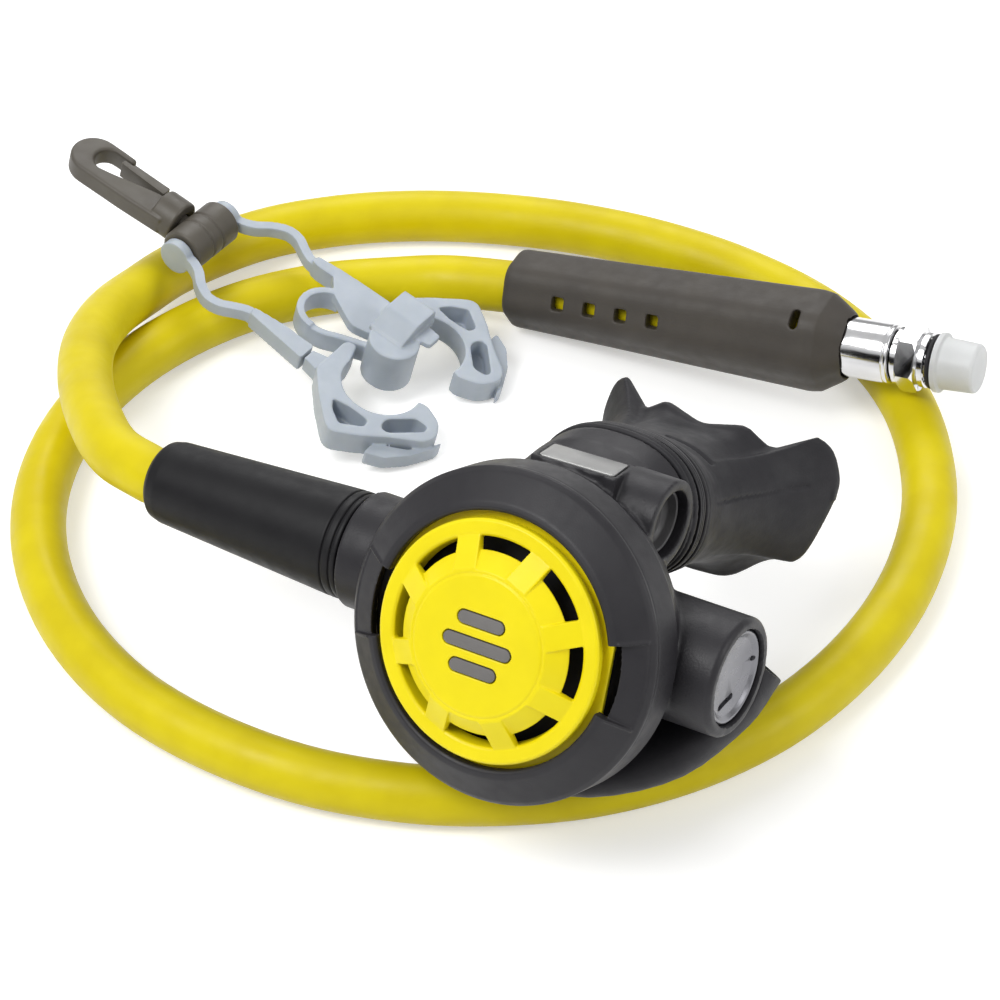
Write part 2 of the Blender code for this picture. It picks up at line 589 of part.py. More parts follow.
def make_small_fittings(stage):
    """Nameplate on top of the case, and the blank in the unused control boss."""
    plate = slab("nameplate", [(-8.4, 3.0), (8.0, 4.6), (10.0, -3.4), (-6.4, -5.0)], 0, 0.8,
                 "silver_plate", stage)
    plate.location = Vector((0, -3.0, CASE_R + 0.35)) * MM
    pad = slab("case_pad", [(-9.6, 4.0), (9.0, 5.7), (11.2, -4.4), (-7.6, -6.1)], -4.0, 0.0, None, stage)
    pad.location = Vector((0, -3.0, CASE_R + 0.05)) * MM
    combine(bpy.data.objects["case"], pad, "UNION")
    y, z = BOSS_CENTRE
    turned("boss_blank", [(13.6, 0), (13.6, 6.6), (17.6, 6.6), (17.6, 5.2), (15.0, 5.2), (15.0, 0)],
           "dark_interior", stage, steps=28, side=(0, y, z))


# ---------------------------------------------------------------- hose and fittings

def make_inlet(stage):
    """Inlet joint inside the rubber sleeve: O-ring, swivel nut, stem and the crimped ferrule."""
    turned("inlet_o_ring", [(-44.8, 5.6), (-44.8, 6.7), (-43.4, 6.7), (-43.4, 5.6)], "black_rubber", stage,
           steps=24)
    turned("inlet_nut", [(-46.4, 6.6), (-46.4, 9.6), (-60.0, 9.6), (-60.0, 6.6)], "chrome", stage, steps=6)
    turned("hose_stem", [(-43.0, 2.8), (-43.0, 5.3), (-61.0, 5.3), (-61.0, 7.5), (FERRULE_INNER_END, 7.5),
                         (FERRULE_INNER_END, 2.8)], "chrome", stage, steps=28)
    hose_r = HOSE_R + GAP
    turned("hose_sleeve", [
        (-46.6, 10.3), (-46.6, SLEEVE_R[0] - 0.4), (-47.4, SLEEVE_R[0]),
        (SLEEVE_END + 2.4, SLEEVE_R[1] + 0.1), (SLEEVE_END + 0.7, SLEEVE_R[1] - 0.7),
        (SLEEVE_END, SLEEVE_R[1] - 1.9), (SLEEVE_END, hose_r),
        (FERRULE_INNER_END - 0.5, hose_r), (FERRULE_INNER_END - 0.5, 7.9), (-62.0, 7.9), (-62.0, 10.2)],
        "black_rubber", stage, steps=28)


HOSE_LEAD = (
    (-82.8, -26.0, 35.2), (-88.3, -11.2, 32.0), (-92.4, 8.6, 27.1), (-93.4, 28.0, 22.2), (-90.4, 45.0, 17.9),
    (-84.2, 60.5, 13.2), (-75.4, 76.5, 8.8), (-57.9, 91.6, 6.5))
HOSE_LOOP = (
    (-38.8, 98.0, 6.2), (-19.4, 99.9, 6.2), (0.0, 98.6, 6.2), (19.3, 94.6, 6.2), (38.5, 87.6, 6.2),
    (57.3, 77.0, 6.2), (74.0, 62.8, 6.2), (86.0, 46.0, 6.2), (93.4, 27.0, 6.2), (96.2, 6.0, 6.2),
    (94.8, -15.0, 6.2), (88.0, -37.9, 6.2), (76.5, -59.0, 6.2), (60.5, -77.6, 6.2), (41.5, -91.1, 6.2),
    (20.7, -99.3, 6.2), (0.0, -102.2, 6.2), (-20.0, -101.2, 6.2), (-41.4, -95.6, 6.2), (-62.0, -84.6, 6.2),
    (-79.0, -70.2, 6.2), (-92.0, -51.6, 6.2), (-100.0, -30.5, 6.2), (-102.6, -9.0, 6.2), (-99.8, 12.0, 6.2),
    (-92.2, 31.0, 6.2), (-79.4, 48.6, 6.2), (-62.0, 62.6, 6.2), (-43.0, 70.3, 6.2), (-24.0, 72.9, 6.3),
    (-11.4, 72.2, 7.2))


def make_hose(bench, stage, hose_end):
    """The yellow hose: out of the sleeve, once round the loop on the surface, into the protector."""
    def on_bench(frame, point):
        return (frame.matrix_world @ (Vector(point) * MM) - bench.matrix_world.translation) / MM

    start = [on_bench(stage, (x, 0, 0)) for x in (FERRULE_INNER_END - GAP, SLEEVE_END + 6, SLEEVE_END - 3)]
    end = [on_bench(hose_end, (x, 0, 0)) for x in (1.0, 12.0, PROTECTOR_LENGTH - 2.0 - GAP)]
    path = smooth_path([start[-1], *HOSE_LEAD, *HOSE_LOOP, end[0]], 2)
    route = [*start[:-1], *path, *end[1:]]
    return tube("hose", route, HOSE_R, "yellow_rubber", bench, resolution=4)


def make_protector(end):
    """Thick rubber hose protector with flats, four windows, four notches and a slot."""
    face = PROTECTOR_LENGTH
    stations = ((0.0, 8.3), (1.2, 8.9), (22.0, 9.6), (51.0, 10.6), (face - 8.4, 11.4), (face - 5.4, 11.0),
                (face - 0.9, 8.0), (face, 7.5))

    def ring(x, radius, steps=24):
        points = []
        for index in range(steps):
            angle = math.tau * (index + 0.5) / steps
            flat = 1.0 + 0.035 * math.cos(6 * angle)
            points.append((x, radius * flat * math.cos(angle), radius * flat * math.sin(angle)))
        return points

    rings = [ring(x, radius) for x, radius in stations]
    bore = [[(x, PROTECTOR_BORE_R * math.cos(a), PROTECTOR_BORE_R * math.sin(a))
             for a in (math.tau * (i + 0.5) / 24 for i in range(24))] for x in (face - 3.0, 0.0)]
    socket = [[(x, 7.25 * math.cos(a), 7.25 * math.sin(a))
               for a in (math.tau * (i + 0.5) / 24 for i in range(24))] for x in (face, face - 2.7)]
    protector = skinned("hose_protector", [*rings, *socket, *bore], "olive_rubber", end, looped=True)
    for index in range(4):
        window = block(f"window_{index}", (-1.5, -14.0, -1.6), (1.5, 0, 1.6), None, end)
        window.location = Vector((13.8 + 7.9 * index, 0, 0)) * MM
        window.rotation_euler = (math.radians(-23), 0, 0)
        combine(protector, window)
    slot = block("slot", (-1.0, -16.0, -2.4), (1.0, 0, 2.4), None, end)
    slot.location = Vector((72.4, 0, 0)) * MM
    slot.rotation_euler = (math.radians(-50), 0, 0)
    combine(protector, slot)


def make_hose_fitting(end):
    """Chrome ferrule, hex fitting with its thread, O-ring and the push-on thread cap."""
    face = PROTECTOR_LENGTH
    turned("hose_ferrule", [(face - 2.0, 2.8), (face - 2.0, 6.9), (face + 10.4, 6.9), (face + 10.9, 6.5),
                            (face + 10.9, 2.8)], "chrome", end, steps=32)
    neck = face + 11.2
    fitting = turned("hose_fitting", [
        (neck, 2.5), (neck, 5.8), (neck + 0.5, 5.8), (neck + 0.5, 6.6), (neck + 1.4, 6.6), (neck + 1.4, 5.9),
        (neck + 8.2, 5.9), (neck + 8.2, 4.0), (neck + 9.8, 4.0), (neck + 9.8, 4.6), (neck + 17.7, 4.6),
        (neck + 18.3, 4.1), (neck + 18.3, 2.5)], "chrome", end, steps=28)
    combine(fitting, turned("fitting_hex", [(neck + 1.8, 3.0), (neck + 1.8, 8.0), (neck + 6.0, 8.0),
                                            (neck + 6.0, 3.0)], None, end, steps=6), "UNION")
    turned("fitting_o_ring", [(neck + 8.5, 4.3), (neck + 8.5, 6.3), (neck + 9.5, 6.3), (neck + 9.5, 4.3)],
           "black_rubber", end, steps=24)
    pull = empty("cap_axis", end, (neck + 10.0, 0, 0))
    cap = turned("thread_cap", [
        (neck + 9.9, 4.95), (neck + 9.9, 6.9), (neck + 11.3, 6.9), (neck + 11.5, 6.0), (neck + 19.1, 5.7),
        (neck + 19.7, 5.2), (neck + 19.7, 0), (neck + 18.7, 0), (neck + 18.7, 4.9)], "cap_plastic", pull,
        steps=28)
    cap.location = -pull.location


# ---------------------------------------------------------------- clip

def jaw_outline(side):
    """Plan outline of one jaw: the round grip inside, the angular back outside."""
    u, v = JAW_CENTRE
    inside = arc((u, v), JAW_BORE_R, 190, 0, 15)
    back = [(30.6, 8.8), (31.0, 15.6), (25.4, 22.0), (18.6, 28.4), (16.4, 29.0), (11.0, 25.2), (6.0, 20.6),
            (-0.8, 15.6), (-1.8, 12.4), (0.6, 8.4), (5.6, 6.2)]
    return [(x, side * y) for x, y in inside + back]


def jaw_windows(side):
    """Plan outlines of the two pockets through a jaw."""
    first = [(22.2, 20.6), (18.0, 19.8), (12.6, 20.0), (12.0, 22.2), (16.8, 25.6), (20.4, 23.2)]
    second = [(9.8, 18.0), (9.4, 16.2), (5.0, 11.4), (1.6, 11.6), (1.2, 13.2), (7.0, 19.6), (8.8, 19.8)]
    return [[(x, side * y) for x, y in loop] for loop in (first, second)]


def barb_outline(side):
    """Plan outline of the hooked lip outside a jaw."""
    return [(x, side * y) for x, y in ((6.2, 21.2), (8.6, 23.4), (8.4, 26.6), (4.0, 24.4), (0.2, 19.6),
                                       (-2.8, 13.0), (-2.6, 10.6), (-1.2, 14.6), (2.0, 18.6))]


def ribbon(points, half_width):
    """Outline of a strip of even width along a plan path."""
    path = [Vector(point).to_3d() for point in points]
    left, right = [], []
    for index, point in enumerate(path):
        ahead = (path[min(index + 1, len(path) - 1)] - path[max(index - 1, 0)]).normalized()
        side = Vector((-ahead.y, ahead.x, 0)) * half_width
        left.append((point + side).xy[:])
        right.append((point - side).xy[:])
    return left + right[::-1]


ARM_PATH = ((50.0, 11.9), (53.2, 12.0), (56.3, 13.6), (59.2, 15.3), (62.6, 15.6), (66.2, 13.6), (69.0, 10.9),
            (72.4, 9.3), (76.4, 9.1))
ARM_LOW = 4.2
ARM_HIGH = 7.2
PAD_U = 76.4


def make_clip(clip):
    """The moulded clip: right jaw, spring loop, post with its saddle plate, and the right arm."""
    frame = slab("clip_frame", jaw_outline(-1), CLIP_BASE, CLIP_TOP, "clip_plastic", clip,
                 holes=jaw_windows(-1))
    loop = arc((40.0, -1.0), 6.4, 248, 20, 18)
    parts = (
        ("right_barb", barb_outline(-1), CLIP_BASE, 6.0),
        ("right_plate", [(29.0, -13.0), (33.0, -11.0), (50.0, -10.4), (52.4, -11.0), (52.0, -13.2),
                         (44.0, -13.9), (31.0, -14.0)], 3.2, 8.0),
        ("shoulder", [(27.0, -13.6), (38.0, -13.4), (46.5, -11.6), (42.0, -6.0), (33.4, -1.2), (25.5, -3.0)],
         5.4, 8.0),
        ("loop", ribbon(loop, 0.9), 2.4, 8.0),
        ("strip", ribbon([(46.0, 1.2), (43.0, 4.6), (37.6, 5.6), (32.8, 3.0), (28.6, 1.2), (26.0, 0.0)],
                         0.9), 2.4, 7.6),
        ("right_arm", ribbon([(x, -y) for x, y in smooth_plan(ARM_PATH)], 1.2), ARM_LOW, ARM_HIGH),
    )
    for name, outline, low, high in parts:
        combine(frame, slab(f"clip_{name}", outline, low, high, None, clip), "UNION")
    combine(frame, rod("clip_post", (21.0, 0, 2.6), (21.0, 0, 13.6), 6.0, None, clip, 28), "UNION")
    combine(frame, block("clip_saddle", (14.0, -12.0, 12.6), (27.6, 1.0, 16.8), None, clip), "UNION")
    combine(frame, block("clip_tab", (11.2, -6.6, 11.0), (16.0, 2.0, 13.6), None, clip), "UNION")
    add_pivot(frame, clip, -1)


def add_pivot(arm, clip, side):
    """The round pad at the end of an arm, and the pin that holds the barrel."""
    for name, inner, outer, radius, steps in (("pad", PAD_INNER, PAD_OUTER, 4.1, 24),
                                              ("pin", 5.2, PAD_OUTER - 1, 2.0, 16)):
        combine(arm, rod(f"{arm.name}_{name}", (PAD_U, side * inner, 5.0), (PAD_U, side * outer, 5.0),
                         radius, None, clip, steps), "UNION")


def smooth_plan(points):
    """A finer plan path through the given points."""
    return [(point.x, point.y) for point in smooth_path([(x, y, 0) for x, y in points], 3)]


def make_clip_arm(clip):
    """The left arm, plugged into the clip behind the left jaw."""
    arm = slab("clip_arm", ribbon(smooth_plan(ARM_PATH), 1.2), ARM_LOW, ARM_HIGH, "clip_plastic", clip)
    strip = [(35.4, 10.4), (35.4, 15.6), (44.0, 14.4), (52.0, 13.2), (52.4, 10.9), (44.0, 10.1)]
    combine(arm, slab("arm_strip", strip, 3.4, 7.8, None, clip), "UNION")
    add_pivot(arm, clip, 1)


def make_clip_jaw(clip):
    """The left jaw, which springs outwards about its root."""
    pivot = empty("jaw_axis", clip, (31.5, 13.0, 0))
    jaw = slab("clip_jaw", jaw_outline(1), CLIP_BASE, CLIP_TOP, "clip_plastic", pivot, holes=jaw_windows(1))
    jaw.location = -pivot.location
    for name, outline, low, high in (
            ("left_barb", barb_outline(1), CLIP_BASE, 6.0),
            ("left_root", [(28.0, 9.4), (28.0, 16.2), (34.9, 14.6), (34.9, 11.2)], 3.4, 7.4)):
        tool = slab(f"clip_{name}", outline, low, high, None, pivot)
        tool.location = jaw.location
        combine(jaw, tool, "UNION")


def make_hook(clip):
    """The snap hook: a barrel between the arms, the turning hook and its sprung gate."""
    barrel_axis = empty("hook_tilt_axis", clip, (PAD_U, 0, 5.0))
    barrel = rod("hook_barrel", (0, -7.6, 0), (0, 7.6, 0), 5.4, "olive_rubber", barrel_axis, 28)
    combine(barrel, rod("barrel_bore_a", (0, -9, 0), (0, -4.9, 0), 2.3, None, barrel_axis, 16))
    combine(barrel, rod("barrel_bore_b", (0, 4.9, 0), (0, 9, 0), 2.3, None, barrel_axis, 16))
    combine(barrel, rod("barrel_neck", (4, 0, 0), (9.0, 0, 0), 2.2, None, barrel_axis, 20), "UNION")
    combine(barrel, rod("barrel_head", (8.0, 0, 0), (10.0, 0, 0), 3.3, None, barrel_axis, 20), "UNION")

    turn_axis = empty("hook_turn_axis", barrel_axis, (6.6, 0, 0))
    body = slab("snap_hook", [(2.0, -5.2), (6.4, -5.0), (6.4, 2.2)]
                + arc((24.6, -1.25), 3.45, 90, -90, 9)
                + [(18.1, -4.7), (18.1, -6.3), (22.0, -6.4)]
                + arc((26.0, -0.3), 6.1, -90, 90, 13)
                + [(14.0, 5.7), (2.0, 5.2)],
                -2.5, 2.5, "olive_rubber", turn_axis, bevel=0.7)
    combine(body, rod("hook_collar", (-0.8, 0, 0), (5.6, 0, 0), 5.2, None, turn_axis, 28), "UNION")
    combine(body, rod("neck_bore", (-2.0, 0, 0), (3.0, 0, 0), 2.5, None, turn_axis, 20))
    combine(body, rod("head_bore", (1.1, 0, 0), (3.7, 0, 0), 3.6, None, turn_axis, 20))
    gate_axis = empty("gate_axis", turn_axis, (7.4, -3.7, 0))
    slab("hook_gate", [(-0.3, -1.2), (10.2, -1.2), (10.4, -0.65), (13.0, -0.65), (13.0, 0.7), (-0.3, 1.3)],
         -2.1, 2.1, "olive_rubber", gate_axis)


# ---------------------------------------------------------------- the whole set

def build():
    """Build the whole set on the bench."""
    clear_scene()
    bench = empty("bench", None, BENCH_SHIFT)
    stage = empty("second_stage", bench, STAGE_PLACE, STAGE_TURN)
    reach = Vector(HOSE_END_TIP) - Vector(HOSE_END_PLACE)
    hose_end = empty("hose_end", bench, HOSE_END_PLACE)
    heading = math.atan2(reach.y, reach.x)
    rise = math.atan2(reach.z, math.hypot(reach.x, reach.y))
    hose_end.rotation_euler = (0, -rise, heading)
    clip = empty("clip", bench, CLIP_PLACE, (0, -CLIP_PITCH, CLIP_HEADING))
    bpy.context.view_layer.update()

    make_case(stage)
    make_cover_ring(stage)
    make_badge(make_purge_cover(stage))
    make_diaphragm(stage)
    make_valve_tube(stage)
    make_poppet(stage)
    make_lever(stage)
    make_exhaust(stage)
    make_mouthpiece(stage)
    make_small_fittings(stage)
    make_inlet(stage)
    make_hose(bench, stage, hose_end)
    make_protector(hose_end)
    make_hose_fitting(hose_end)
    make_clip(clip)
    make_clip_arm(clip)
    make_clip_jaw(clip)
    make_hook(clip)


build()
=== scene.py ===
"""Looks of a scuba octopus set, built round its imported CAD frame.

A second stage leans back on its low-pressure hose. The hose lies in one big loop and ends in a rubber
protector and a capped port fitting, and a retaining clip with a snap hook lies inside the loop. Each
sub-assembly is a class. Lengths are in millimetres in the sub-assembly's own frame, and become metres
when a piece is placed.
"""

import json
import logging
import math
from collections.abc import Sequence
from dataclasses import dataclass
from enum import Enum

import bmesh
import bpy
from mathutils import Euler, Matrix, Vector
from mathutils.bvhtree import BVHTree

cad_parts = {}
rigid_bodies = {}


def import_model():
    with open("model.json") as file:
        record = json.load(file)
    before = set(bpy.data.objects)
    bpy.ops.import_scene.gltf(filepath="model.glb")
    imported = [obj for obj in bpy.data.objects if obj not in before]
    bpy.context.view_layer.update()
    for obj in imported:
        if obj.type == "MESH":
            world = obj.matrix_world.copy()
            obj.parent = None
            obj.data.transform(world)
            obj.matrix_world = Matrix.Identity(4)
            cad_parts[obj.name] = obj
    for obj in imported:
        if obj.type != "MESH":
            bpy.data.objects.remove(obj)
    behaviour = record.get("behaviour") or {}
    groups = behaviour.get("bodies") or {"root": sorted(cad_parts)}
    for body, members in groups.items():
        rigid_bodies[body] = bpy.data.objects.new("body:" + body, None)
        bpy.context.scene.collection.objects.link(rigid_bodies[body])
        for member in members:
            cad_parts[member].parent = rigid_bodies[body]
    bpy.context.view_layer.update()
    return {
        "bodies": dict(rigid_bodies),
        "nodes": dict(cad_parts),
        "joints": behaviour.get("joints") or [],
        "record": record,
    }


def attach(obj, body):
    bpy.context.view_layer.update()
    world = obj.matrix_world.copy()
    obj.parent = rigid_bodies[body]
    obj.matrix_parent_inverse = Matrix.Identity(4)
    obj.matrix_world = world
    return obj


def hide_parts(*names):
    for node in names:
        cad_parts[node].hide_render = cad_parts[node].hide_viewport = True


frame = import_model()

log = logging.getLogger("octopus")

MM = 0.001
GAP = 0.3
BENCH_SHIFT = (14.59, 17.72, 0.0)

Point = Sequence[float]
Ring = list[Vector]
Colour = tuple[float, float, float]


# ---------------------------------------------------------------- places

def place(origin: Point, turn: Matrix) -> Matrix:
    """Find the matrix that takes a sub-assembly's millimetres to the row frame's metres.

    Args:
        origin: Where the sub-assembly's origin lies on the bench, in millimetres.
        turn: How the sub-assembly is turned.

    Returns:
        The matrix, scale included.
    """
    return Matrix.Scale(MM, 4) @ Matrix.Translation(Vector(BENCH_SHIFT) + Vector(origin)) @ turn.to_4x4()


def turned_by(x: float, y: float, z: float) -> Matrix:
    """Make a rotation from three angles in degrees."""
    return Euler([math.radians(angle) for angle in (x, y, z)]).to_matrix()


HOSE_END_START = Vector((3.76, 66.52, 9.82))
HOSE_END_TIP = Vector((107.7, 18.5, 23.0))
HOSE_END_REACH = HOSE_END_TIP - HOSE_END_START

BENCH = place((0, 0, 0), Matrix.Identity(3))
STAGE = place((11.6, -88.4, 43.6), turned_by(-25.57, -3.36, -31.14))
HOSE_END = place(HOSE_END_START, Euler((
    0, -math.atan2(HOSE_END_REACH.z, HOSE_END_REACH.xy.length),
    math.atan2(HOSE_END_REACH.y, HOSE_END_REACH.x))).to_matrix())
CLIP = place((-10.4, 27.1, -1.4003), turned_by(0, -15.0, 145.3))


class Body(Enum):
    """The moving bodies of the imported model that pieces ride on."""

    REGULATOR = "regulator"
    PURGE = "purge_button"
    CAP = "cap"
    CLIP = "clip"
    LEFT_JAW = "left_jaw"
    BARREL = "barrel"
    HOOK = "hook"
    GATE = "gate"


class Axis(Enum):
    """The axis that a turned piece goes round."""

    X = "X"
    Y = "Y"
    Z = "Z"


# ---------------------------------------------------------------- finishes

class NodeTree:
    """Short ways to add and link shader nodes."""

    def __init__(self, material: bpy.types.Material) -> None:
        """Empty the material's tree and give it an output and a Principled shader."""
        material.use_nodes = True
        self.tree = material.node_tree
        self.tree.nodes.clear()
        self.output = self.add("ShaderNodeOutputMaterial")
        self.shader = self.add("ShaderNodeBsdfPrincipled")
        self.link(self.shader, "BSDF", self.output, "Surface")
        self.coordinates = self.add("ShaderNodeTexCoord")

    def add(self, kind: str, **values: object) -> bpy.types.Node:
        """Add a node.

        Args:
            kind: The node's Blender type.
            **values: Settings of the node, or defaults of its inputs, by name.

        Returns:
            The node.
        """
        node = self.tree.nodes.new(kind)
        for name, value in values.items():
            if hasattr(node, name):
                setattr(node, name, value)
            else:
                node.inputs[name.replace("_", " ").title()].default_value = value
        return node

    def link(self, start: bpy.types.Node, out: str | int, end: bpy.types.Node, into: str | int) -> None:
        """Join one node's output to another's input."""
        self.tree.links.new(start.outputs[out], end.inputs[into])

    def noise(self, size: float, detail: float = 2.0, stretch: Point = (1, 1, 1)) -> bpy.types.Node:
        """Add a noise texture that sticks to the piece.

        Args:
            size: The size of its spots in millimetres.
            detail: How many finer layers it has.
            stretch: How much it is squeezed along each axis.

        Returns:
            The noise node.
        """
        mapping = self.add("ShaderNodeMapping")
        mapping.inputs["Scale"].default_value = [value / (size * MM) for value in stretch]
        self.link(self.coordinates, "Object", mapping, "Vector")
        noise = self.add("ShaderNodeTexNoise")
        noise.inputs["Scale"].default_value = 1.0
        noise.inputs["Detail"].default_value = detail
        self.link(mapping, "Vector", noise, "Vector")
        return noise

    def ramp(self, source: bpy.types.Node, out: str, stops: Sequence[tuple[float, Sequence[float]]]
             ) -> bpy.types.Node:
        """Add a colour ramp that reads a node's output."""
        ramp = self.add("ShaderNodeValToRGB")
        elements = ramp.color_ramp.elements
        for index, (position, colour) in enumerate(stops):
            element = elements[index] if index < 2 else elements.new(position)
            element.position = position
            element.color = (*colour, 1.0)
        self.link(source, out, ramp, "Fac")
        return ramp

    def spread(self, source: bpy.types.Node, out: str, low: float, high: float) -> bpy.types.Node:
        """Map a value from 0.3 to 0.7 onto a range."""
        node = self.add("ShaderNodeMapRange")
        for name, value in (("From Min", 0.3), ("From Max", 0.7), ("To Min", low), ("To Max", high)):
            node.inputs[name].default_value = value
        self.link(source, out, node, "Value")
        return node

    def bumps(self, layers: Sequence[tuple[bpy.types.Node, str, float]]) -> None:
        """Stack bump layers into the shader's normal; each has a depth in millimetres."""
        before = None
        for source, out, depth in layers:
            bump = self.add("ShaderNodeBump")
            bump.inputs["Distance"].default_value = depth * MM
            bump.inputs["Strength"].default_value = 1.0
            self.link(source, out, bump, "Height")
            if before:
                self.link(before, "Normal", bump, "Normal")
            before = bump
        if before:
            self.link(before, "Normal", self.shader, "Normal")


@dataclass(frozen=True)
class Finish:
    """A moulded or rubber finish: two close shades and a fine grain."""

    name: str
    slot: str
    colour: Colour
    shade: Colour
    roughness: float = 0.5
    roughness_spread: float = 0.06
    metallic: float = 0.0
    specular: float = 0.5
    grain: float = 0.35
    grain_depth: float = 0.02
    mottle: float = 9.0
    wave: float = 6.0
    wave_depth: float = 0.03
    coat: float = 0.0
    subsurface: float = 0.0

    def material(self) -> bpy.types.Material:
        """Return the finish as a material, made once."""
        found = bpy.data.materials.get(self.name)
        if found:
            return found
        made = bpy.data.materials.new(self.name)
        nodes = NodeTree(made)
        self.dress(nodes)
        made.diffuse_color = (*self.colour, 1.0)
        return made

    def dress(self, nodes: NodeTree) -> None:
        """Set the shader and its textures."""
        inputs = nodes.shader.inputs
        inputs["Metallic"].default_value = self.metallic
        inputs["Specular IOR Level"].default_value = self.specular
        inputs["Coat Weight"].default_value = self.coat
        inputs["Coat Roughness"].default_value = 0.25
        inputs["Subsurface Weight"].default_value = self.subsurface
        inputs["Subsurface Radius"].default_value = (1.0, 0.7, 0.2)
        inputs["Subsurface Scale"].default_value = 0.6 * MM
        mottle = nodes.noise(self.mottle, 3.0)
        colours = nodes.ramp(mottle, "Fac", ((0.35, self.shade), (0.65, self.colour)))
        nodes.link(colours, "Color", nodes.shader, "Base Color")
        rough = nodes.spread(nodes.noise(self.mottle / 3, 4.0), "Fac",
                             self.roughness - self.roughness_spread,
                             self.roughness + self.roughness_spread)
        nodes.link(rough, "Result", nodes.shader, "Roughness")
        nodes.bumps(((nodes.noise(self.wave, 2.0), "Fac", self.wave_depth),
                     (nodes.noise(self.grain, 1.0), "Fac", self.grain_depth)))


@dataclass(frozen=True)
class MetalFinish(Finish):
    """A machined or plated metal with fine turning marks round the piece's own axis."""

    turning: float = 0.25
    turning_depth: float = 0.004
    turning_axis: Point = (1.0, 0.0, 0.0)

    def dress(self, nodes: NodeTree) -> None:
        """Set the shader and its textures."""
        inputs = nodes.shader.inputs
        inputs["Metallic"].default_value = 1.0
        colours = nodes.ramp(nodes.noise(self.mottle, 3.0), "Fac", ((0.3, self.shade), (0.7, self.colour)))
        nodes.link(colours, "Color", nodes.shader, "Base Color")
        rough = nodes.spread(nodes.noise(self.mottle / 4, 5.0), "Fac",
                             self.roughness - self.roughness_spread,
                             self.roughness + self.roughness_spread)
        nodes.link(rough, "Result", nodes.shader, "Roughness")
        across = nodes.add("ShaderNodeVectorMath", operation="DOT_PRODUCT")
        across.inputs[1].default_value = [value / (self.turning * MM) for value in self.turning_axis]
        nodes.link(nodes.coordinates, "Object", across, 0)
        lines = nodes.add("ShaderNodeTexNoise", noise_dimensions="1D")
        lines.inputs["Scale"].default_value = 1.0
        lines.inputs["Detail"].default_value = 2.0
        nodes.link(across, "Value", lines, "W")
        nodes.bumps(((lines, "Fac", self.turning_depth),))


@dataclass(frozen=True)
class ClearFinish(Finish):
    """A milky plastic that lets light through."""

    transmission: float = 0.75

    def dress(self, nodes: NodeTree) -> None:
        """Set the shader and its textures."""
        super().dress(nodes)
        nodes.shader.inputs["Transmission Weight"].default_value = self.transmission
        nodes.shader.inputs["IOR"].default_value = 1.35


STAGE_X = tuple((STAGE.to_3x3() @ Vector((1, 0, 0))).normalized())
HOSE_END_X = tuple((HOSE_END.to_3x3() @ Vector((1, 0, 0))).normalized())

BLACK_PLASTIC = Finish("moulded_black_plastic", "black_plastic", (0.019, 0.018, 0.021),
                       (0.015, 0.014, 0.017),
                       roughness=0.45, specular=0.30, grain=0.4, grain_depth=0.035)
RING_PLASTIC = Finish("cover_black_plastic", "black_plastic", (0.021, 0.020, 0.023), (0.017, 0.016, 0.019),
                      roughness=0.46, specular=0.30, grain=0.3, grain_depth=0.018)
BLACK_RUBBER = Finish("moulded_black_rubber", "black_rubber", (0.016, 0.015, 0.018), (0.012, 0.0115, 0.014),
                      roughness=0.56, specular=0.30, grain=0.45, grain_depth=0.035, wave_depth=0.05)
SLEEVE_RUBBER = Finish("sleeve_black_rubber", "black_rubber", (0.007, 0.0068, 0.008), (0.005, 0.0048, 0.006),
                       roughness=0.48, specular=0.22, grain=0.5, grain_depth=0.010, wave_depth=0.04)
DARK_INTERIOR = Finish("inner_black", "dark_interior", (0.012, 0.012, 0.013), (0.008, 0.008, 0.009),
                       roughness=0.6)
YELLOW_PLASTIC = Finish("purge_yellow", "yellow_plastic", (0.86, 0.72, 0.004), (0.82, 0.68, 0.003),
                        roughness=0.38, specular=0.28, grain=0.3, grain_depth=0.006, wave_depth=0.01)
YELLOW_RUBBER = Finish("hose_yellow", "yellow_rubber", (0.69, 0.57, 0.002), (0.62, 0.50, 0.001),
                       roughness=0.46, roughness_spread=0.08, specular=0.25, grain=0.8, grain_depth=0.010,
                       mottle=14.0, wave=5.0, wave_depth=0.05)
CAP_WASHER = Finish("pale_plastic", "cap_plastic", (0.80, 0.81, 0.80), (0.72, 0.73, 0.72), roughness=0.4)
INNER_PLASTIC = Finish("blank_black_plastic", "dark_interior", (0.085, 0.083, 0.085), (0.070, 0.068, 0.070),
                       roughness=0.42)
GREY_INSET = Finish("grip_grey", "grey_inset", (0.155, 0.148, 0.142), (0.135, 0.128, 0.122), roughness=0.55)
OLIVE_RUBBER = Finish("protector_olive_rubber", "olive_rubber", (0.055, 0.048, 0.040), (0.046, 0.040, 0.034),
                      roughness=0.55, specular=0.36, grain=0.5, grain_depth=0.018, wave_depth=0.04)
OLIVE_PLASTIC = Finish("hook_olive_plastic", "olive_rubber", (0.086, 0.077, 0.062), (0.074, 0.065, 0.053),
                       roughness=0.46, specular=0.4, grain=0.4, grain_depth=0.012)
CLIP_PLASTIC = Finish("clip_grey_blue", "clip_plastic", (0.40, 0.445, 0.50), (0.36, 0.405, 0.46),
                      roughness=0.42, grain=0.35, grain_depth=0.010, mottle=6.0, subsurface=0.15)
CHROME = MetalFinish("plated_chrome", "chrome", (0.74, 0.74, 0.75), (0.66, 0.66, 0.67), roughness=0.14,
                     roughness_spread=0.04, turning_axis=HOSE_END_X)
PLUG_METAL = MetalFinish("plug_metal", "chrome", (0.22, 0.22, 0.235), (0.17, 0.17, 0.185), roughness=0.3,
                         roughness_spread=0.06, turning=0.2, turning_axis=STAGE_X)
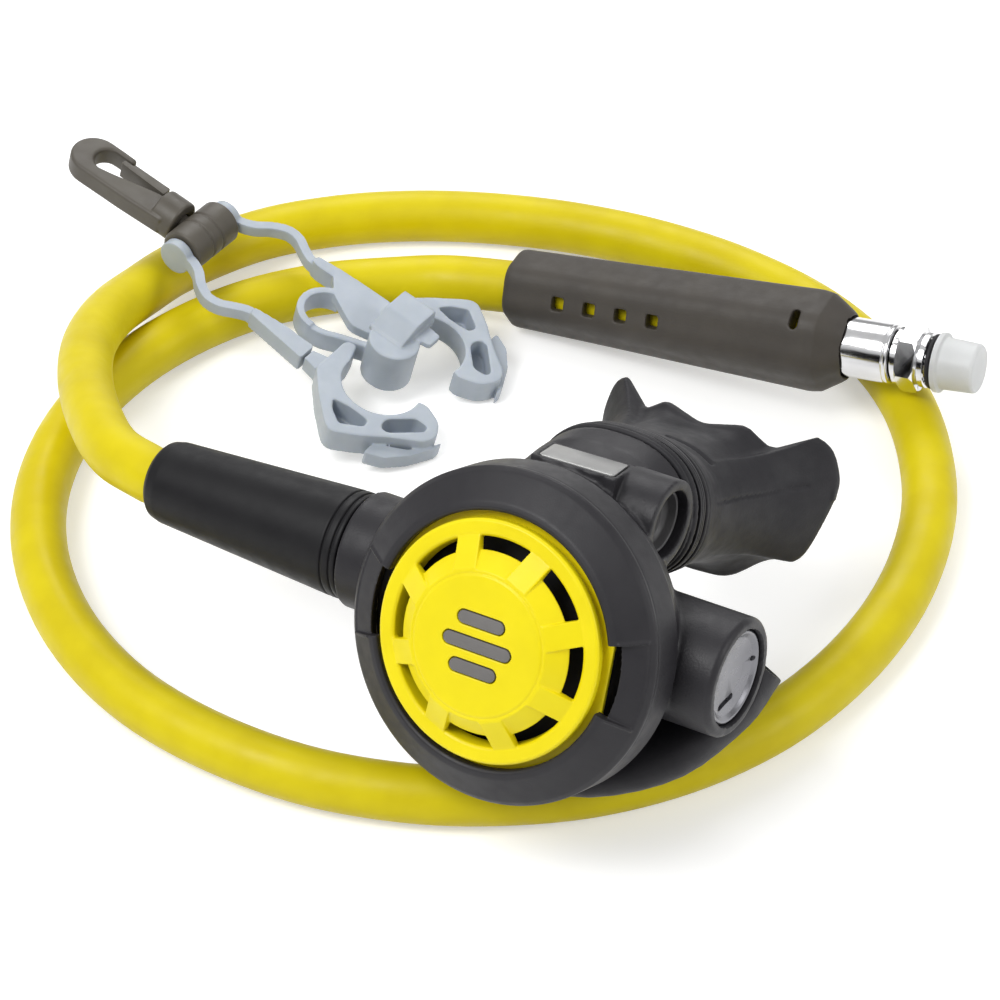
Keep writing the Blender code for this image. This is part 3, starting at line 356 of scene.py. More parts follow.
BRASS = MetalFinish("machined_brass", "brass", (0.62, 0.45, 0.2), (0.52, 0.37, 0.15), roughness=0.3,
                    turning_axis=STAGE_X)
STEEL = MetalFinish("bright_steel", "steel", (0.6, 0.6, 0.6), (0.5, 0.5, 0.5), roughness=0.3,
                    turning_axis=STAGE_X)
SILVER_PLATE = MetalFinish("satin_plate", "silver_plate", (0.38, 0.38, 0.375), (0.32, 0.32, 0.315),
                           roughness=0.42,
                           turning=0.12, turning_depth=0.003, turning_axis=STAGE_X)
CAP_PLASTIC = ClearFinish("milky_cap", "cap_plastic", (0.88, 0.89, 0.89), (0.83, 0.84, 0.84), roughness=0.42,
                          grain_depth=0.004, wave_depth=0.02, transmission=0.5)


# ---------------------------------------------------------------- mesh tools

def new_object(name: str, bm: bmesh.types.BMesh) -> bpy.types.Object:
    """Turn a bmesh in millimetres into an object that isn't placed yet."""
    bmesh.ops.remove_doubles(bm, verts=bm.verts, dist=1e-4)
    bmesh.ops.recalc_face_normals(bm, faces=bm.faces)
    mesh = bpy.data.meshes.new(name)
    bm.to_mesh(mesh)
    bm.free()
    item = bpy.data.objects.new(name, mesh)
    bpy.context.scene.collection.objects.link(item)
    return item


def rounded(profile: Sequence[Point], radius: float, closed: bool = False, steps: int = 4) -> list[Vector]:
    """Round the corners of a flat line.

    Args:
        profile: The line's corners as pairs.
        radius: How far from a corner the rounding starts, less where a side is short.
        closed: Whether the line's end joins its start.
        steps: How many sides a rounded corner gets.

    Returns:
        The finer line.
    """
    points = [Vector(point[:2]) for point in profile]
    made = []
    for index, corner in enumerate(points):
        if not closed and index in (0, len(points) - 1):
            made.append(corner)
            continue
        before, after = points[index - 1], points[(index + 1) % len(points)]
        start = corner + (before - corner).normalized() * min(radius, 0.45 * (before - corner).length)
        end = corner + (after - corner).normalized() * min(radius, 0.45 * (after - corner).length)
        for step in range(steps + 1):
            t = step / steps
            made.append(start * (1 - t) ** 2 + corner * 2 * t * (1 - t) + end * t ** 2)
    return made


def turned(name: str, profile: Sequence[Point], axis: Axis = Axis.X, steps: int = 96,
           side: Point = (0, 0, 0), radius: float = 0.0) -> bpy.types.Object:
    """Make a solid of revolution.

    Args:
        name: The piece's name.
        profile: Pairs of place along the axis and distance from it; ends on the axis close there.
        axis: The axis that it goes round.
        steps: How many sides it has.
        side: How far its axis is shifted.
        radius: How much its edges are rounded.

    Returns:
        The object, not placed yet.
    """
    hollow = profile[0][1] > 0 or profile[-1][1] > 0
    line = rounded(profile, radius, hollow) if radius else [Vector(point) for point in profile]
    bm = bmesh.new()
    verts = [bm.verts.new((point[0], point[1], 0)) for point in line]
    edges = [bm.edges.new(pair) for pair in zip(verts, verts[1:])]
    if hollow:
        edges.append(bm.edges.new((verts[-1], verts[0])))
    bmesh.ops.spin(bm, geom=verts + edges, cent=(0, 0, 0), axis=(1, 0, 0), dvec=(0, 0, 0),
                   angle=math.tau, steps=steps, use_merge=True)
    swing = {Axis.X: Matrix(), Axis.Y: Matrix.Rotation(math.pi / 2, 4, "Z"),
             Axis.Z: Matrix.Rotation(-math.pi / 2, 4, "Y")}[axis]
    bmesh.ops.transform(bm, matrix=Matrix.Translation(side) @ swing, verts=bm.verts)
    return new_object(name, bm)


def rod(name: str, start: Point, end: Point, radius: float, steps: int = 64) -> bpy.types.Object:
    """Make a round bar between two points."""
    start, end = Vector(start), Vector(end)
    bm = bmesh.new()
    bmesh.ops.create_cone(bm, cap_ends=True, segments=steps, radius1=radius, radius2=radius,
                          depth=(end - start).length)
    aim = (end - start).to_track_quat("Z", "Y").to_matrix().to_4x4()
    bmesh.ops.transform(bm, matrix=Matrix.Translation((start + end) / 2) @ aim, verts=bm.verts)
    return new_object(name, bm)


def block(name: str, low: Point, high: Point, turn: Matrix | None = None, shift: Point = (0, 0, 0)
          ) -> bpy.types.Object:
    """Make a box between two corners, then turn and shift it."""
    low, high = Vector(low), Vector(high)
    bm = bmesh.new()
    bmesh.ops.create_cube(bm, size=1.0)
    size = Matrix.Diagonal((*(high - low), 1.0))
    swing = (turn or Matrix.Identity(3)).to_4x4()
    bmesh.ops.transform(
        bm, matrix=Matrix.Translation(shift) @ swing @ Matrix.Translation((low + high) / 2) @ size,
        verts=bm.verts)
    return new_object(name, bm)


def skinned(name: str, rings: Sequence[Sequence[Point]], looped: bool = False) -> bpy.types.Object:
    """Skin a row of point rings of equal length; looped joins the last ring to the first."""
    bm = bmesh.new()
    rows = [[bm.verts.new(point) for point in ring] for ring in rings]
    pairs = list(zip(rows, rows[1:])) + ([(rows[-1], rows[0])] if looped else [])
    for front, back in pairs:
        for index in range(len(front)):
            after = (index + 1) % len(front)
            bm.faces.new((front[index], front[after], back[after], back[index]))
    if not looped:
        bm.faces.new(rows[0])
        bm.faces.new(rows[-1])
    return new_object(name, bm)


def slab(name: str, outline: Sequence[Point], low: float, high: float, holes: Sequence[Sequence[Point]] = ()
         ) -> bpy.types.Object:
    """Extrude a flat outline with holes from z = low to z = high."""
    bm = bmesh.new()
    edges = []
    for loop in (outline, *holes):
        verts = [bm.verts.new((point[0], point[1], low)) for point in loop]
        edges += [bm.edges.new(pair) for pair in zip(verts, verts[1:] + verts[:1])]
    bmesh.ops.triangle_fill(bm, use_beauty=True, use_dissolve=False, edges=edges)
    lifted = bmesh.ops.extrude_face_region(bm, geom=bm.faces[:])
    top = [item for item in lifted["geom"] if isinstance(item, bmesh.types.BMVert)]
    bmesh.ops.translate(bm, vec=(0, 0, high - low), verts=top)
    return new_object(name, bm)


def arc(centre: Point, radius: float, start: float, end: float, count: int) -> list[tuple[float, float]]:
    """Points along an arc in a plane, angles in degrees."""
    angles = [math.radians(start + (end - start) * i / (count - 1)) for i in range(count)]
    return [(centre[0] + radius * math.cos(a), centre[1] + radius * math.sin(a)) for a in angles]


def oval(y: float, centre_z: float, half_width: float, half_height: float, steps: int = 96,
         power: float = 2.3) -> Ring:
    """A superellipse ring that faces along y."""
    ring = []
    for index in range(steps):
        angle = math.tau * index / steps
        c, s = math.cos(angle), math.sin(angle)
        ring.append(Vector((half_width * math.copysign(abs(c) ** (2 / power), c), y,
                            centre_z + half_height * math.copysign(abs(s) ** (2 / power), s))))
    return ring


def smooth_path(points: Sequence[Point], per_span: int) -> list[Vector]:
    """Points along a Catmull-Rom curve through the given ones."""
    knots = [Vector(point) for point in points]
    ends = [knots[0] * 2 - knots[1], *knots, knots[-1] * 2 - knots[-2]]
    path = []
    for before, start, end, after in zip(ends, ends[1:], ends[2:], ends[3:]):
        for step in range(per_span):
            t = step / per_span
            path.append(0.5 * (2 * start + (end - before) * t
                               + (2 * before - 5 * start + 4 * end - after) * t ** 2
                               + (3 * start - before - 3 * end + after) * t ** 3))
    return [*path, knots[-1]]


def smooth_rings(rings: Sequence[Ring], per_span: int) -> list[Ring]:
    """Add rings between the given ones along smooth lines."""
    lines = [smooth_path([ring[index] for ring in rings], per_span) for index in range(len(rings[0]))]
    return [[line[index] for line in lines] for index in range(len(lines[0]))]


def bead(name: str, points: Sequence[Point], radius: float, steps: int = 12) -> bpy.types.Object:
    """Make a thin round line along points, to be added to a piece or cut out of it."""
    path = [Vector(point) for point in points]
    rings = []
    side = None
    for index, point in enumerate(path):
        ahead = (path[min(index + 1, len(path) - 1)] - path[max(index - 1, 0)]).normalized()
        if side is None:
            side = ahead.orthogonal()
        side = (side - ahead * side.dot(ahead)).normalized()
        up = ahead.cross(side)
        rings.append([point + radius * (side * math.cos(a) + up * math.sin(a))
                      for a in (math.tau * i / steps for i in range(steps))])
    return skinned(name, rings)


def on_surface(item: bpy.types.Object, points: Sequence[Point], lift: float = 0.0) -> list[Vector]:
    """Move points onto the nearest places of a piece's surface, or `lift` above them."""
    mesh = item.data
    tree = BVHTree.FromPolygons([vert.co for vert in mesh.vertices],
                                [face.vertices for face in mesh.polygons])
    found = [tree.find_nearest(Vector(point)) for point in points]
    return [hit[0] + hit[1] * lift for hit in found]


def apply_modifiers(item: bpy.types.Object) -> bpy.types.Object:
    """Turn an object's modifiers into its own mesh."""
    bpy.context.view_layer.update()
    seen = item.evaluated_get(bpy.context.evaluated_depsgraph_get())
    mesh = bpy.data.meshes.new_from_object(seen)
    old = item.data
    item.modifiers.clear()
    item.data = mesh
    bpy.data.meshes.remove(old)
    return item


def combine(target: bpy.types.Object, *tools: bpy.types.Object, add: bool = False) -> bpy.types.Object:
    """Cut tools out of the target, or add them to it, and remove them.

    Args:
        target: The piece that changes.
        *tools: The cutters or additions.
        add: Whether they are added.

    Returns:
        The target.
    """
    for tool in tools:
        step = target.modifiers.new(tool.name, "BOOLEAN")
        step.operation = "UNION" if add else "DIFFERENCE"
        step.solver = "EXACT"
        step.object = tool
    apply_modifiers(target)
    for tool in tools:
        bpy.data.objects.remove(tool, do_unlink=True)
    return target


def moulded(item: bpy.types.Object, voxel: float, rounds: int = 6, faces: float = 1.0) -> bpy.types.Object:
    """Give a joined solid the soft edges and fillets of a moulding.

    Args:
        item: The solid, in millimetres.
        voxel: The size of its new faces.
        rounds: How often it is smoothed.
        faces: The share of its faces that is kept at the end.

    Returns:
        The same object.
    """
    remesh = item.modifiers.new("remesh", "REMESH")
    remesh.mode = "VOXEL"
    remesh.voxel_size = voxel
    remesh.use_smooth_shade = True
    if rounds:
        smooth = item.modifiers.new("smooth", "SMOOTH")
        smooth.factor = 0.5
        smooth.iterations = rounds
    if faces < 1.0:
        thin = item.modifiers.new("thin", "DECIMATE")
        thin.ratio = faces
    return apply_modifiers(item)


def bevelled(item: bpy.types.Object, width: float, angle: float = 35.0,
             segments: int = 2) -> bpy.types.Object:
    """Round an object's sharp edges."""
    edge = item.modifiers.new("edges", "BEVEL")
    edge.width = width
    edge.segments = segments
    edge.limit_method = "ANGLE"
    edge.angle_limit = math.radians(angle)
    edge.harden_normals = False
    return apply_modifiers(item)


@dataclass(frozen=True)
class Fitter:
    """Places the pieces of one sub-assembly and reports them."""

    where: Matrix

    def fit(self, item: bpy.types.Object, finish: Finish, body: Body = Body.REGULATOR,
            replaces: Sequence[str] = (),
            sharp: float = 40.0) -> bpy.types.Object:
        """Put a finished mesh in its place, dress it and tie it to its body.

        Args:
            item: The mesh, in the sub-assembly's millimetres.
            finish: What it is made of.
            body: The body that it moves with.
            replaces: The CAD nodes that it stands for.
            sharp: The angle above which an edge is shaded as a crease.

        Returns:
            The same object.
        """
        mesh = item.data
        mesh.transform(self.where)
        mesh.materials.clear()
        mesh.materials.append(finish.material())
        mesh.shade_smooth()
        mesh.set_sharp_from_angle(angle=math.radians(sharp))
        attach(item, body.value)
        if replaces:
            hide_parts(*replaces)
        log.info("%s: %d faces, rides on %s", item.name, len(mesh.polygons), body.value)
        return item


# ---------------------------------------------------------------- camera, light and floor

@dataclass
class Studio:
    """The camera of the photograph, plain soft light and a white floor."""

    distance: float = 947.0
    elevation: float = 40.0
    lens: float = 151.2
    floor_size: float = 3.0

    def build(self) -> None:
        """Make the camera, the lamps, the world and the floor."""
        bpy.context.scene.view_settings.view_transform = "Standard"
        self.add_camera()
        self.add_world()
        for name, spot, size, power in (
                ("key", (-0.60, -0.45, 1.05), 0.6, 10.5), ("side", (0.95, -0.35, 0.55), 0.5, 3.2),
                ("back", (0.05, 0.95, 0.95), 0.8, 6.5)):
            self.add_lamp(name, spot, size, power)
        self.add_floor()

    def add_camera(self) -> None:
        """Make the camera look at the bench's origin from in front and above."""
        camera = bpy.data.objects.new("camera", bpy.data.cameras.new("camera"))
        camera.data.lens = self.lens
        camera.data.sensor_width = 36.0
        camera.data.clip_start, camera.data.clip_end = 0.05, 20.0
        rise = math.radians(self.elevation)
        camera.location = Vector((BENCH_SHIFT[0], BENCH_SHIFT[1] - self.distance * math.cos(rise),
                                  self.distance * math.sin(rise))) * MM
        camera.rotation_euler = (math.pi / 2 - rise, 0, 0)
        bpy.context.scene.collection.objects.link(camera)
        bpy.context.scene.camera = camera

    def add_lamp(self, name: str, spot: Point, size: float, power: float) -> None:
        """Hang a square soft lamp that points at the object."""
        lamp = bpy.data.lights.new(name, "AREA")
        lamp.shape = "SQUARE"
        lamp.size = size
        lamp.energy = power
        item = bpy.data.objects.new(name, lamp)
        item.location = spot
        item.rotation_euler = (-Vector(spot)).to_track_quat("-Z", "Y").to_euler()
        bpy.context.scene.collection.objects.link(item)

    def add_world(self) -> None:
        """Make a world that is white to the eye, with a darker band in reflections and a softer light."""
        world = bpy.data.worlds.new("studio")
        bpy.context.scene.world = world
        world.use_nodes = True
        tree = world.node_tree
        tree.nodes.clear()
        output = tree.nodes.new("ShaderNodeOutputWorld")
        path = tree.nodes.new("ShaderNodeLightPath")
        seen = tree.nodes.new("ShaderNodeBackground")
        seen.inputs["Color"].default_value = (1, 1, 1, 1)
        light = tree.nodes.new("ShaderNodeBackground")
        light.inputs["Color"].default_value = (1, 1, 1, 1)
        light.inputs["Strength"].default_value = 0.45
        mirrored = tree.nodes.new("ShaderNodeBackground")
        mirrored.inputs["Strength"].default_value = 1.0
        coordinates = tree.nodes.new("ShaderNodeTexCoord")
        split = tree.nodes.new("ShaderNodeSeparateXYZ")
        ramp = tree.nodes.new("ShaderNodeValToRGB")
        stops = ((0.0, 0.25), (0.30, 0.30), (0.48, 0.85), (0.62, 0.30), (0.80, 0.95), (1.0, 0.6))
        for index, (position, value) in enumerate(stops):
            element = (ramp.color_ramp.elements[index] if index < 2
                       else ramp.color_ramp.elements.new(position))
            element.position = position
            element.color = (value, value, value, 1)
        half = tree.nodes.new("ShaderNodeMapRange")
        half.inputs["From Min"].default_value = -1.0
        tree.links.new(coordinates.outputs["Generated"], split.inputs[0])
        tree.links.new(split.outputs["Z"], half.inputs["Value"])
        tree.links.new(half.outputs["Result"], ramp.inputs["Fac"])
        tree.links.new(ramp.outputs["Color"], mirrored.inputs["Color"])
        glossy = tree.nodes.new("ShaderNodeMixShader")
        tree.links.new(path.outputs["Is Glossy Ray"], glossy.inputs[0])
        tree.links.new(light.outputs[0], glossy.inputs[1])
        tree.links.new(mirrored.outputs[0], glossy.inputs[2])
        eye = tree.nodes.new("ShaderNodeMath")
        eye.operation = "MAXIMUM"
        tree.links.new(path.outputs["Is Camera Ray"], eye.inputs[0])
        tree.links.new(path.outputs["Is Transmission Ray"], eye.inputs[1])
        direct = tree.nodes.new("ShaderNodeMixShader")
        tree.links.new(eye.outputs[0], direct.inputs[0])
        tree.links.new(glossy.outputs[0], direct.inputs[1])
        tree.links.new(seen.outputs[0], direct.inputs[2])
        tree.links.new(direct.outputs[0], output.inputs["Surface"])

    def add_floor(self) -> None:
        """Lay a pale floor that looks white and keeps the object's shadow."""
        bm = bmesh.new()
        bmesh.ops.create_grid(bm, x_segments=1, y_segments=1, size=self.floor_size / 2)
        bmesh.ops.translate(bm, verts=bm.verts, vec=(0, 0, -0.0002))
        floor = new_object("floor", bm)
        made = bpy.data.materials.new("floor_white")
        nodes = NodeTree(made)
        nodes.tree.nodes.remove(nodes.shader)
        diffuse = nodes.add("ShaderNodeBsdfDiffuse")
        diffuse.inputs["Color"].default_value = (0.80, 0.80, 0.80, 1)
        glow = nodes.add("ShaderNodeEmission")
        glow.inputs["Strength"].default_value = 0.42
        both = nodes.add("ShaderNodeAddShader")
        nodes.link(diffuse, 0, both, 0)
        nodes.link(glow, 0, both, 1)
        path = nodes.add("ShaderNodeLightPath")
        first = nodes.add("ShaderNodeMath", operation="MAXIMUM")
        nodes.link(path, "Is Camera Ray", first, 0)
        nodes.link(path, "Is Glossy Ray", first, 1)
        second = nodes.add("ShaderNodeMath", operation="MAXIMUM")
        nodes.link(first, 0, second, 0)
        nodes.link(path, "Is Transmission Ray", second, 1)
        mix = nodes.add("ShaderNodeMixShader")
        nodes.link(second, 0, mix, 0)
        nodes.link(diffuse, 0, mix, 1)
        nodes.link(both, 0, mix, 2)
        nodes.link(mix, 0, nodes.output, "Surface")
        floor.data.materials.append(made)


# ---------------------------------------------------------------- hose

@dataclass
class Hose:
    """The yellow hose in its loop, from the sleeve to the protector."""

    radius: float = 6.2
    sleeve_end: float = -97.6
    ferrule_end: float = -84.2
    protector: float = 84.8
    sides: int = 40
    lead: tuple[Point, ...] = (
        (-82.8, -26.0, 35.2), (-88.3, -11.2, 32.0), (-92.4, 8.6, 27.1), (-93.4, 28.0, 22.2),
        (-90.4, 45.0, 17.9),
        (-84.2, 60.5, 13.2), (-75.4, 76.5, 8.8), (-57.9, 91.6, 6.5))
    loop: tuple[Point, ...] = (
        (-38.8, 98.0, 6.2), (-19.4, 99.9, 6.2), (0.0, 98.6, 6.2), (19.3, 94.6, 6.2), (38.5, 87.6, 6.2),
        (57.3, 77.0, 6.2), (74.0, 62.8, 6.2), (86.0, 46.0, 6.2), (93.4, 27.0, 6.2), (96.2, 6.0, 6.2),
        (94.8, -15.0, 6.2), (88.0, -37.9, 6.2), (76.5, -59.0, 6.2), (60.5, -77.6, 6.2), (41.5, -91.1, 6.2),
        (20.7, -99.3, 6.2), (0.0, -102.2, 6.2), (-20.0, -101.2, 6.2), (-41.4, -95.6, 6.2),
        (-62.0, -84.6, 6.2), (-79.0, -70.2, 6.2), (-92.0, -51.6, 6.2), (-100.0, -30.5, 6.2),
        (-102.6, -9.0, 6.2), (-99.8, 12.0, 6.2), (-92.2, 31.0, 6.2), (-79.4, 48.6, 6.2), (-62.0, 62.6, 6.2),
        (-43.0, 70.3, 6.2), (-24.0, 72.9, 6.3),
        (-11.4, 72.2, 7.2))

    def route(self, per_span: int) -> list[Vector]:
        """Find the hose's centreline.

        Args:
            per_span: How many steps there are between two route points.

        Returns:
            The points in metres, from inside the sleeve to inside the protector.
        """
        start = [STAGE @ Vector((x, 0, 0)) for x in (
            self.ferrule_end - GAP, self.sleeve_end + 6, self.sleeve_end - 3)]
        end = [HOSE_END @ Vector((x, 0, 0)) for x in (1.0, 12.0, self.protector - 2.0 - GAP)]
        middle = [BENCH @ Vector(point) for point in (*self.lead, *self.loop)]
        return [*start[:-1], *smooth_path([start[-1], *middle, end[0]], per_span), *end[1:]]

    def build(self, pieces: Sequence[bpy.types.Object]) -> None:
        route = self.route(6)
        length = sum((b - a).length for a, b in zip(route, route[1:]))
        hose = self.tube("hose_line", route, 0.0, math.tau, self.radius * MM)
        Fitter(Matrix.Identity(4)).fit(hose, YELLOW_RUBBER, replaces=["hose"])
        [tuple(point) for point in route]

    def frames(self, route: Sequence[Vector]) -> list[tuple[Vector, Vector, Vector]]:
        """Find at each point of a route its place, its sideways direction and its upward direction."""
        made = []
        for index, point in enumerate(route):
            ahead = (route[min(index + 1, len(route) - 1)] - route[max(index - 1, 0)]).normalized()
            side = ahead.cross(Vector((0, 0, 1))).normalized()
            made.append((point, side, side.cross(ahead)))
        return made

    def tube(self, name: str, route: Sequence[Vector], start: float, end: float,
             radius: float) -> bpy.types.Object:
        """Make a round tube, or a strip of one, along a route in metres."""
        whole = abs(end - start) > math.tau - 0.01
        count = self.sides if whole else 3
        rings = [[point + radius * (side * math.cos(a) + up * math.sin(a))
                  for a in (start + (end - start) * i / (count if whole else count - 1)
                            for i in range(count))]
                 for point, side, up in self.frames(route)]
        bm = bmesh.new()
        rows = [[bm.verts.new(point) for point in ring] for ring in rings]
        for front, back in zip(rows, rows[1:]):
            for index in range(count if whole else count - 1):
                after = (index + 1) % count
                bm.faces.new((front[index], front[after], back[after], back[index]))
        if whole:
            bm.faces.new(rows[0])
            bm.faces.new(rows[-1])
        bmesh.ops.recalc_face_normals(bm, faces=bm.faces)
        mesh = bpy.data.meshes.new(name)
        bm.to_mesh(mesh)
        bm.free()
        item = bpy.data.objects.new(name, mesh)
        bpy.context.scene.collection.objects.link(item)
        return item


# ---------------------------------------------------------------- second stage

def port_point(depth: float, across: float = 0.0) -> Vector:
    """Find a point on the exhaust port's axis, or beside it towards the mouthpiece.

    Args:
        depth: How far down the port it lies.
        across: How far beside the axis it lies.

    Returns:
        The point in the second stage's frame.
    """
    tilt = math.radians(60.0)
    return Vector((0, -2.0 + depth * math.sin(tilt) + across * math.cos(tilt),
                   -11.0 - depth * math.cos(tilt) + across * math.sin(tilt)))


def duct_rings(stations: Sequence[Point], wall: float, overrun: float = 0.0, steps: int = 56) -> list[Ring]:
    """Make the rings of the exhaust duct.

    Args:
        stations: The x, y, z, half length and half height of each ring.
        wall: How far inside the outer skin the rings lie.
        overrun: How far the end rings are moved outwards.
        steps: How many points a ring has.

    Returns:
        The rings.
    """
    back = Vector((0, 0.902, 0.43))
    centres = [Vector(station[:3]) for station in stations]
    rings = []
    for index, (station, centre) in enumerate(zip(stations, centres)):
        ahead = centres[min(index + 1, len(centres) - 1)] - centres[max(index - 1, 0)]
        if overrun and index in (0, len(centres) - 1):
            centre = centre + ahead.normalized() * (overrun if index else -overrun)
        up = back.cross(ahead).normalized()
        across = ahead.cross(up).normalized()
        length, height = station[3] - wall, station[4] - wall
        rings.append([centre + across * length * math.cos(a) + up * height * math.sin(a)
                      for a in (math.tau * i / steps for i in range(steps))])
    return rings


@dataclass
class Shell:
    """The case, its cover ring, the exhaust tee and the small fittings on them."""

    fitter: Fitter
    rim_face: float = -19.4
    rim_r: float = 32.4
    case_r: float = 33.2
    bore_r: float = 30.2
    barrel_r: float = 12.6
    barrel_bore_r: float = 10.2
    barrel_ends: tuple[float, float] = (-46.0, 42.0)
    neck_end: float = 27.5
    boss: Point = (0.0, 2.0, 25.3)
    boss_r: float = 9.2
    boss_bore_r: float = 7.0
    port_r: float = 9.8
    plate_at: float = -3.0
    recess_half_angle: float = 15.5

    def build(self) -> None:
        """Build and dress every piece of the shell."""
        fit = self.fitter.fit
        fit(self.case(), BLACK_PLASTIC, replaces=["case"])
        fit(self.cover_ring(), RING_PLASTIC, replaces=["cover_ring"])
        fit(self.tee(), BLACK_RUBBER, replaces=["exhaust_tee"])
        fit(self.nameplate(), SILVER_PLATE, replaces=["nameplate"])
        fit(turned("boss_inner_blank",
                   [(13.6, 0), (13.6, 6.7), (17.9, 6.7), (17.9, 6.0), (16.0, 5.7), (15.2, 5.0),
                                        (15.0, 0)], side=self.boss, radius=0.3),
            INNER_PLASTIC, replaces=["boss_blank"])
        fit(self.end_plug(), PLUG_METAL, replaces=["end_plug"], sharp=30)
        fit(turned("end_plug_seal", [(38.6, 8.5), (38.6, 9.9), (39.2, 9.9), (39.2, 8.5)], radius=0.2),
            BLACK_RUBBER, replaces=["end_plug_o_ring"])

    def case(self) -> bpy.types.Object:
        """Mould the cup, barrel, neck, boss and exhaust port in one piece."""
        case = turned("case_shell", [
            (self.rim_face, 0), (self.rim_face, self.rim_r), (-12.9, self.rim_r), (-12.9, self.case_r),
            (-10.5, 32.9), (-4, 29.6), (3, 26.0), (9, 22.4), (12.5, 17.0), (13.6, 10.0), (13.6, 0)], Axis.Y,
                      radius=2.0)
        left, right = self.barrel_ends
        barrel = turned("barrel", [(left, 0), (left, self.barrel_r), (right - 0.9, self.barrel_r),
                                   (right, self.barrel_r - 0.8), (right, 0)])
        neck = [oval(y, z, a, b) for y, z, a, b in (
            (2, 19.5, 19.4, 12.0), (8, 21.6, 18.2, 13.6), (13.3, 22.6, 17.6, 14.4), (13.7, 22.5, 17.5, 14.3),
            (14.0, 22.4, 16.0, 12.6), (self.neck_end, 20.5, 16.0, 12.6))]
        pad = slab("plate_pad", [(-9.6, 5.2), (9.0, 6.9), (11.2, -5.6), (-7.6, -7.3)], -9.0, 0.85)
        pocket = slab("plate_pocket", [(-8.8, 4.5), (8.2, 6.1), (10.4, -4.9), (-6.8, -6.5)], 0.1, 3.0)
        pocket.data.transform(Matrix.Translation((0, self.plate_at, self.case_r)))
        pad.data.transform(Matrix.Translation((0, self.plate_at, self.case_r + 0.05)))
        latch = block("latch_mark", (28.0, -1.1, -0.5), (30.4, 1.1, 0.5), turned_by(-38, 0, 0),
                      (0, -9.6, 8.1))
        combine(case, barrel, skinned("neck", neck),
                turned("boss", [(9.6, 0), (9.6, self.boss_r), (20.0, self.boss_r), (20.0, 0)],
                       side=self.boss),
                rod("port", port_point(5), port_point(17.0), self.port_r), pad, latch, add=True)
        combine(case, self.cup_hollow(),
                rod("bore", (left - 2, 0, 0), (right + 2, 0, 0), self.barrel_bore_r),
                self.throat(),
                turned("boss_bore", [(13, 0), (13, self.boss_bore_r), (22, self.boss_bore_r), (22, 0)],
                                      side=self.boss),
                rod("port_bore", port_point(2), port_point(19.0), self.port_r - 1.8), pocket)
        return moulded(case, 0.42, rounds=3, faces=0.55)

    def cup_hollow(self) -> bpy.types.Object:
        """Make the cutter of the round cup's inside."""
        return turned("cup_hollow", [
            (self.rim_face - 3, 0), (self.rim_face - 3, self.bore_r), (-11.6, self.bore_r), (-4, 27.4),
            (3, 23.8),
            (7.4, 20.6), (10.6, 15.4), (11.4, 9.0), (11.4, 0)], Axis.Y)

    def throat(self) -> bpy.types.Object:
        """Make the cutter of the air way through the neck."""
        return skinned("throat", [oval(y, z, a, b) for y, z, a, b in (
            (0, 16.0, 15.0, 6.0), (12, 21.0, 13.5, 10.0), (self.neck_end + 1, 20.3, 13.5, 10.0))])

    def cover_ring(self) -> bpy.types.Object:
        """Turn the clamp ring, with a seam bead and a bordered finger recess on each side."""
        ring = turned("cover_clamp_ring", [
            (-13.2, 33.9), (-13.8, 34.4), (-21.6, 34.4), (-21.75, 34.25), (-21.9, 34.4), (-22.7, 34.4),
            (-23.8, 33.5), (-27.7, 28.0), (-28.0, 26.8), (-27.6, 26.1), (-25.3, 26.1), (-25.3, 29.3),
            (-22.2, 29.3),
            (-21.9, 30.0), (-21.9, 32.7), (-13.2, 32.7)], Axis.Y, steps=192, radius=0.25)
        cuts = []
        for side in (-1, 1):
            sections = []
            for step in range(13):
                turn = math.radians(self.recess_half_angle * (step / 6 - 1))
                c, n = side * math.cos(turn), math.sin(turn)
                sections.append([(radius * c, y, radius * n) for radius, y in (
                    (24.0, -40.0), (24.0, -24.8), (28.3, -24.8), (28.3, -26.2), (33.2, -23.8),
                    (33.2, -40.0))])
            cuts.append(skinned(f"recess_{side}", sections))
        combine(ring, *cuts)
        combine(ring, *self.recess_borders(), add=True)
        return moulded(ring, 0.22, rounds=2, faces=0.4)

    def recess_borders(self) -> list[bpy.types.Object]:
        """Make the raised bead at both ends of each finger recess."""
        made = []
        for side in (-1, 1):
            for end in (-1, 1):
                turn = math.radians(end * (self.recess_half_angle + 0.5))
                c, n = side * math.cos(turn), math.sin(turn)
                line = [(radius * c, y, radius * n)
                        for radius, y in ((28.3, -27.5), (31.0, -25.6), (33.4, -23.9))]
                made.append(bead(f"recess_border_{side}_{end}", line, 0.32))
        return made

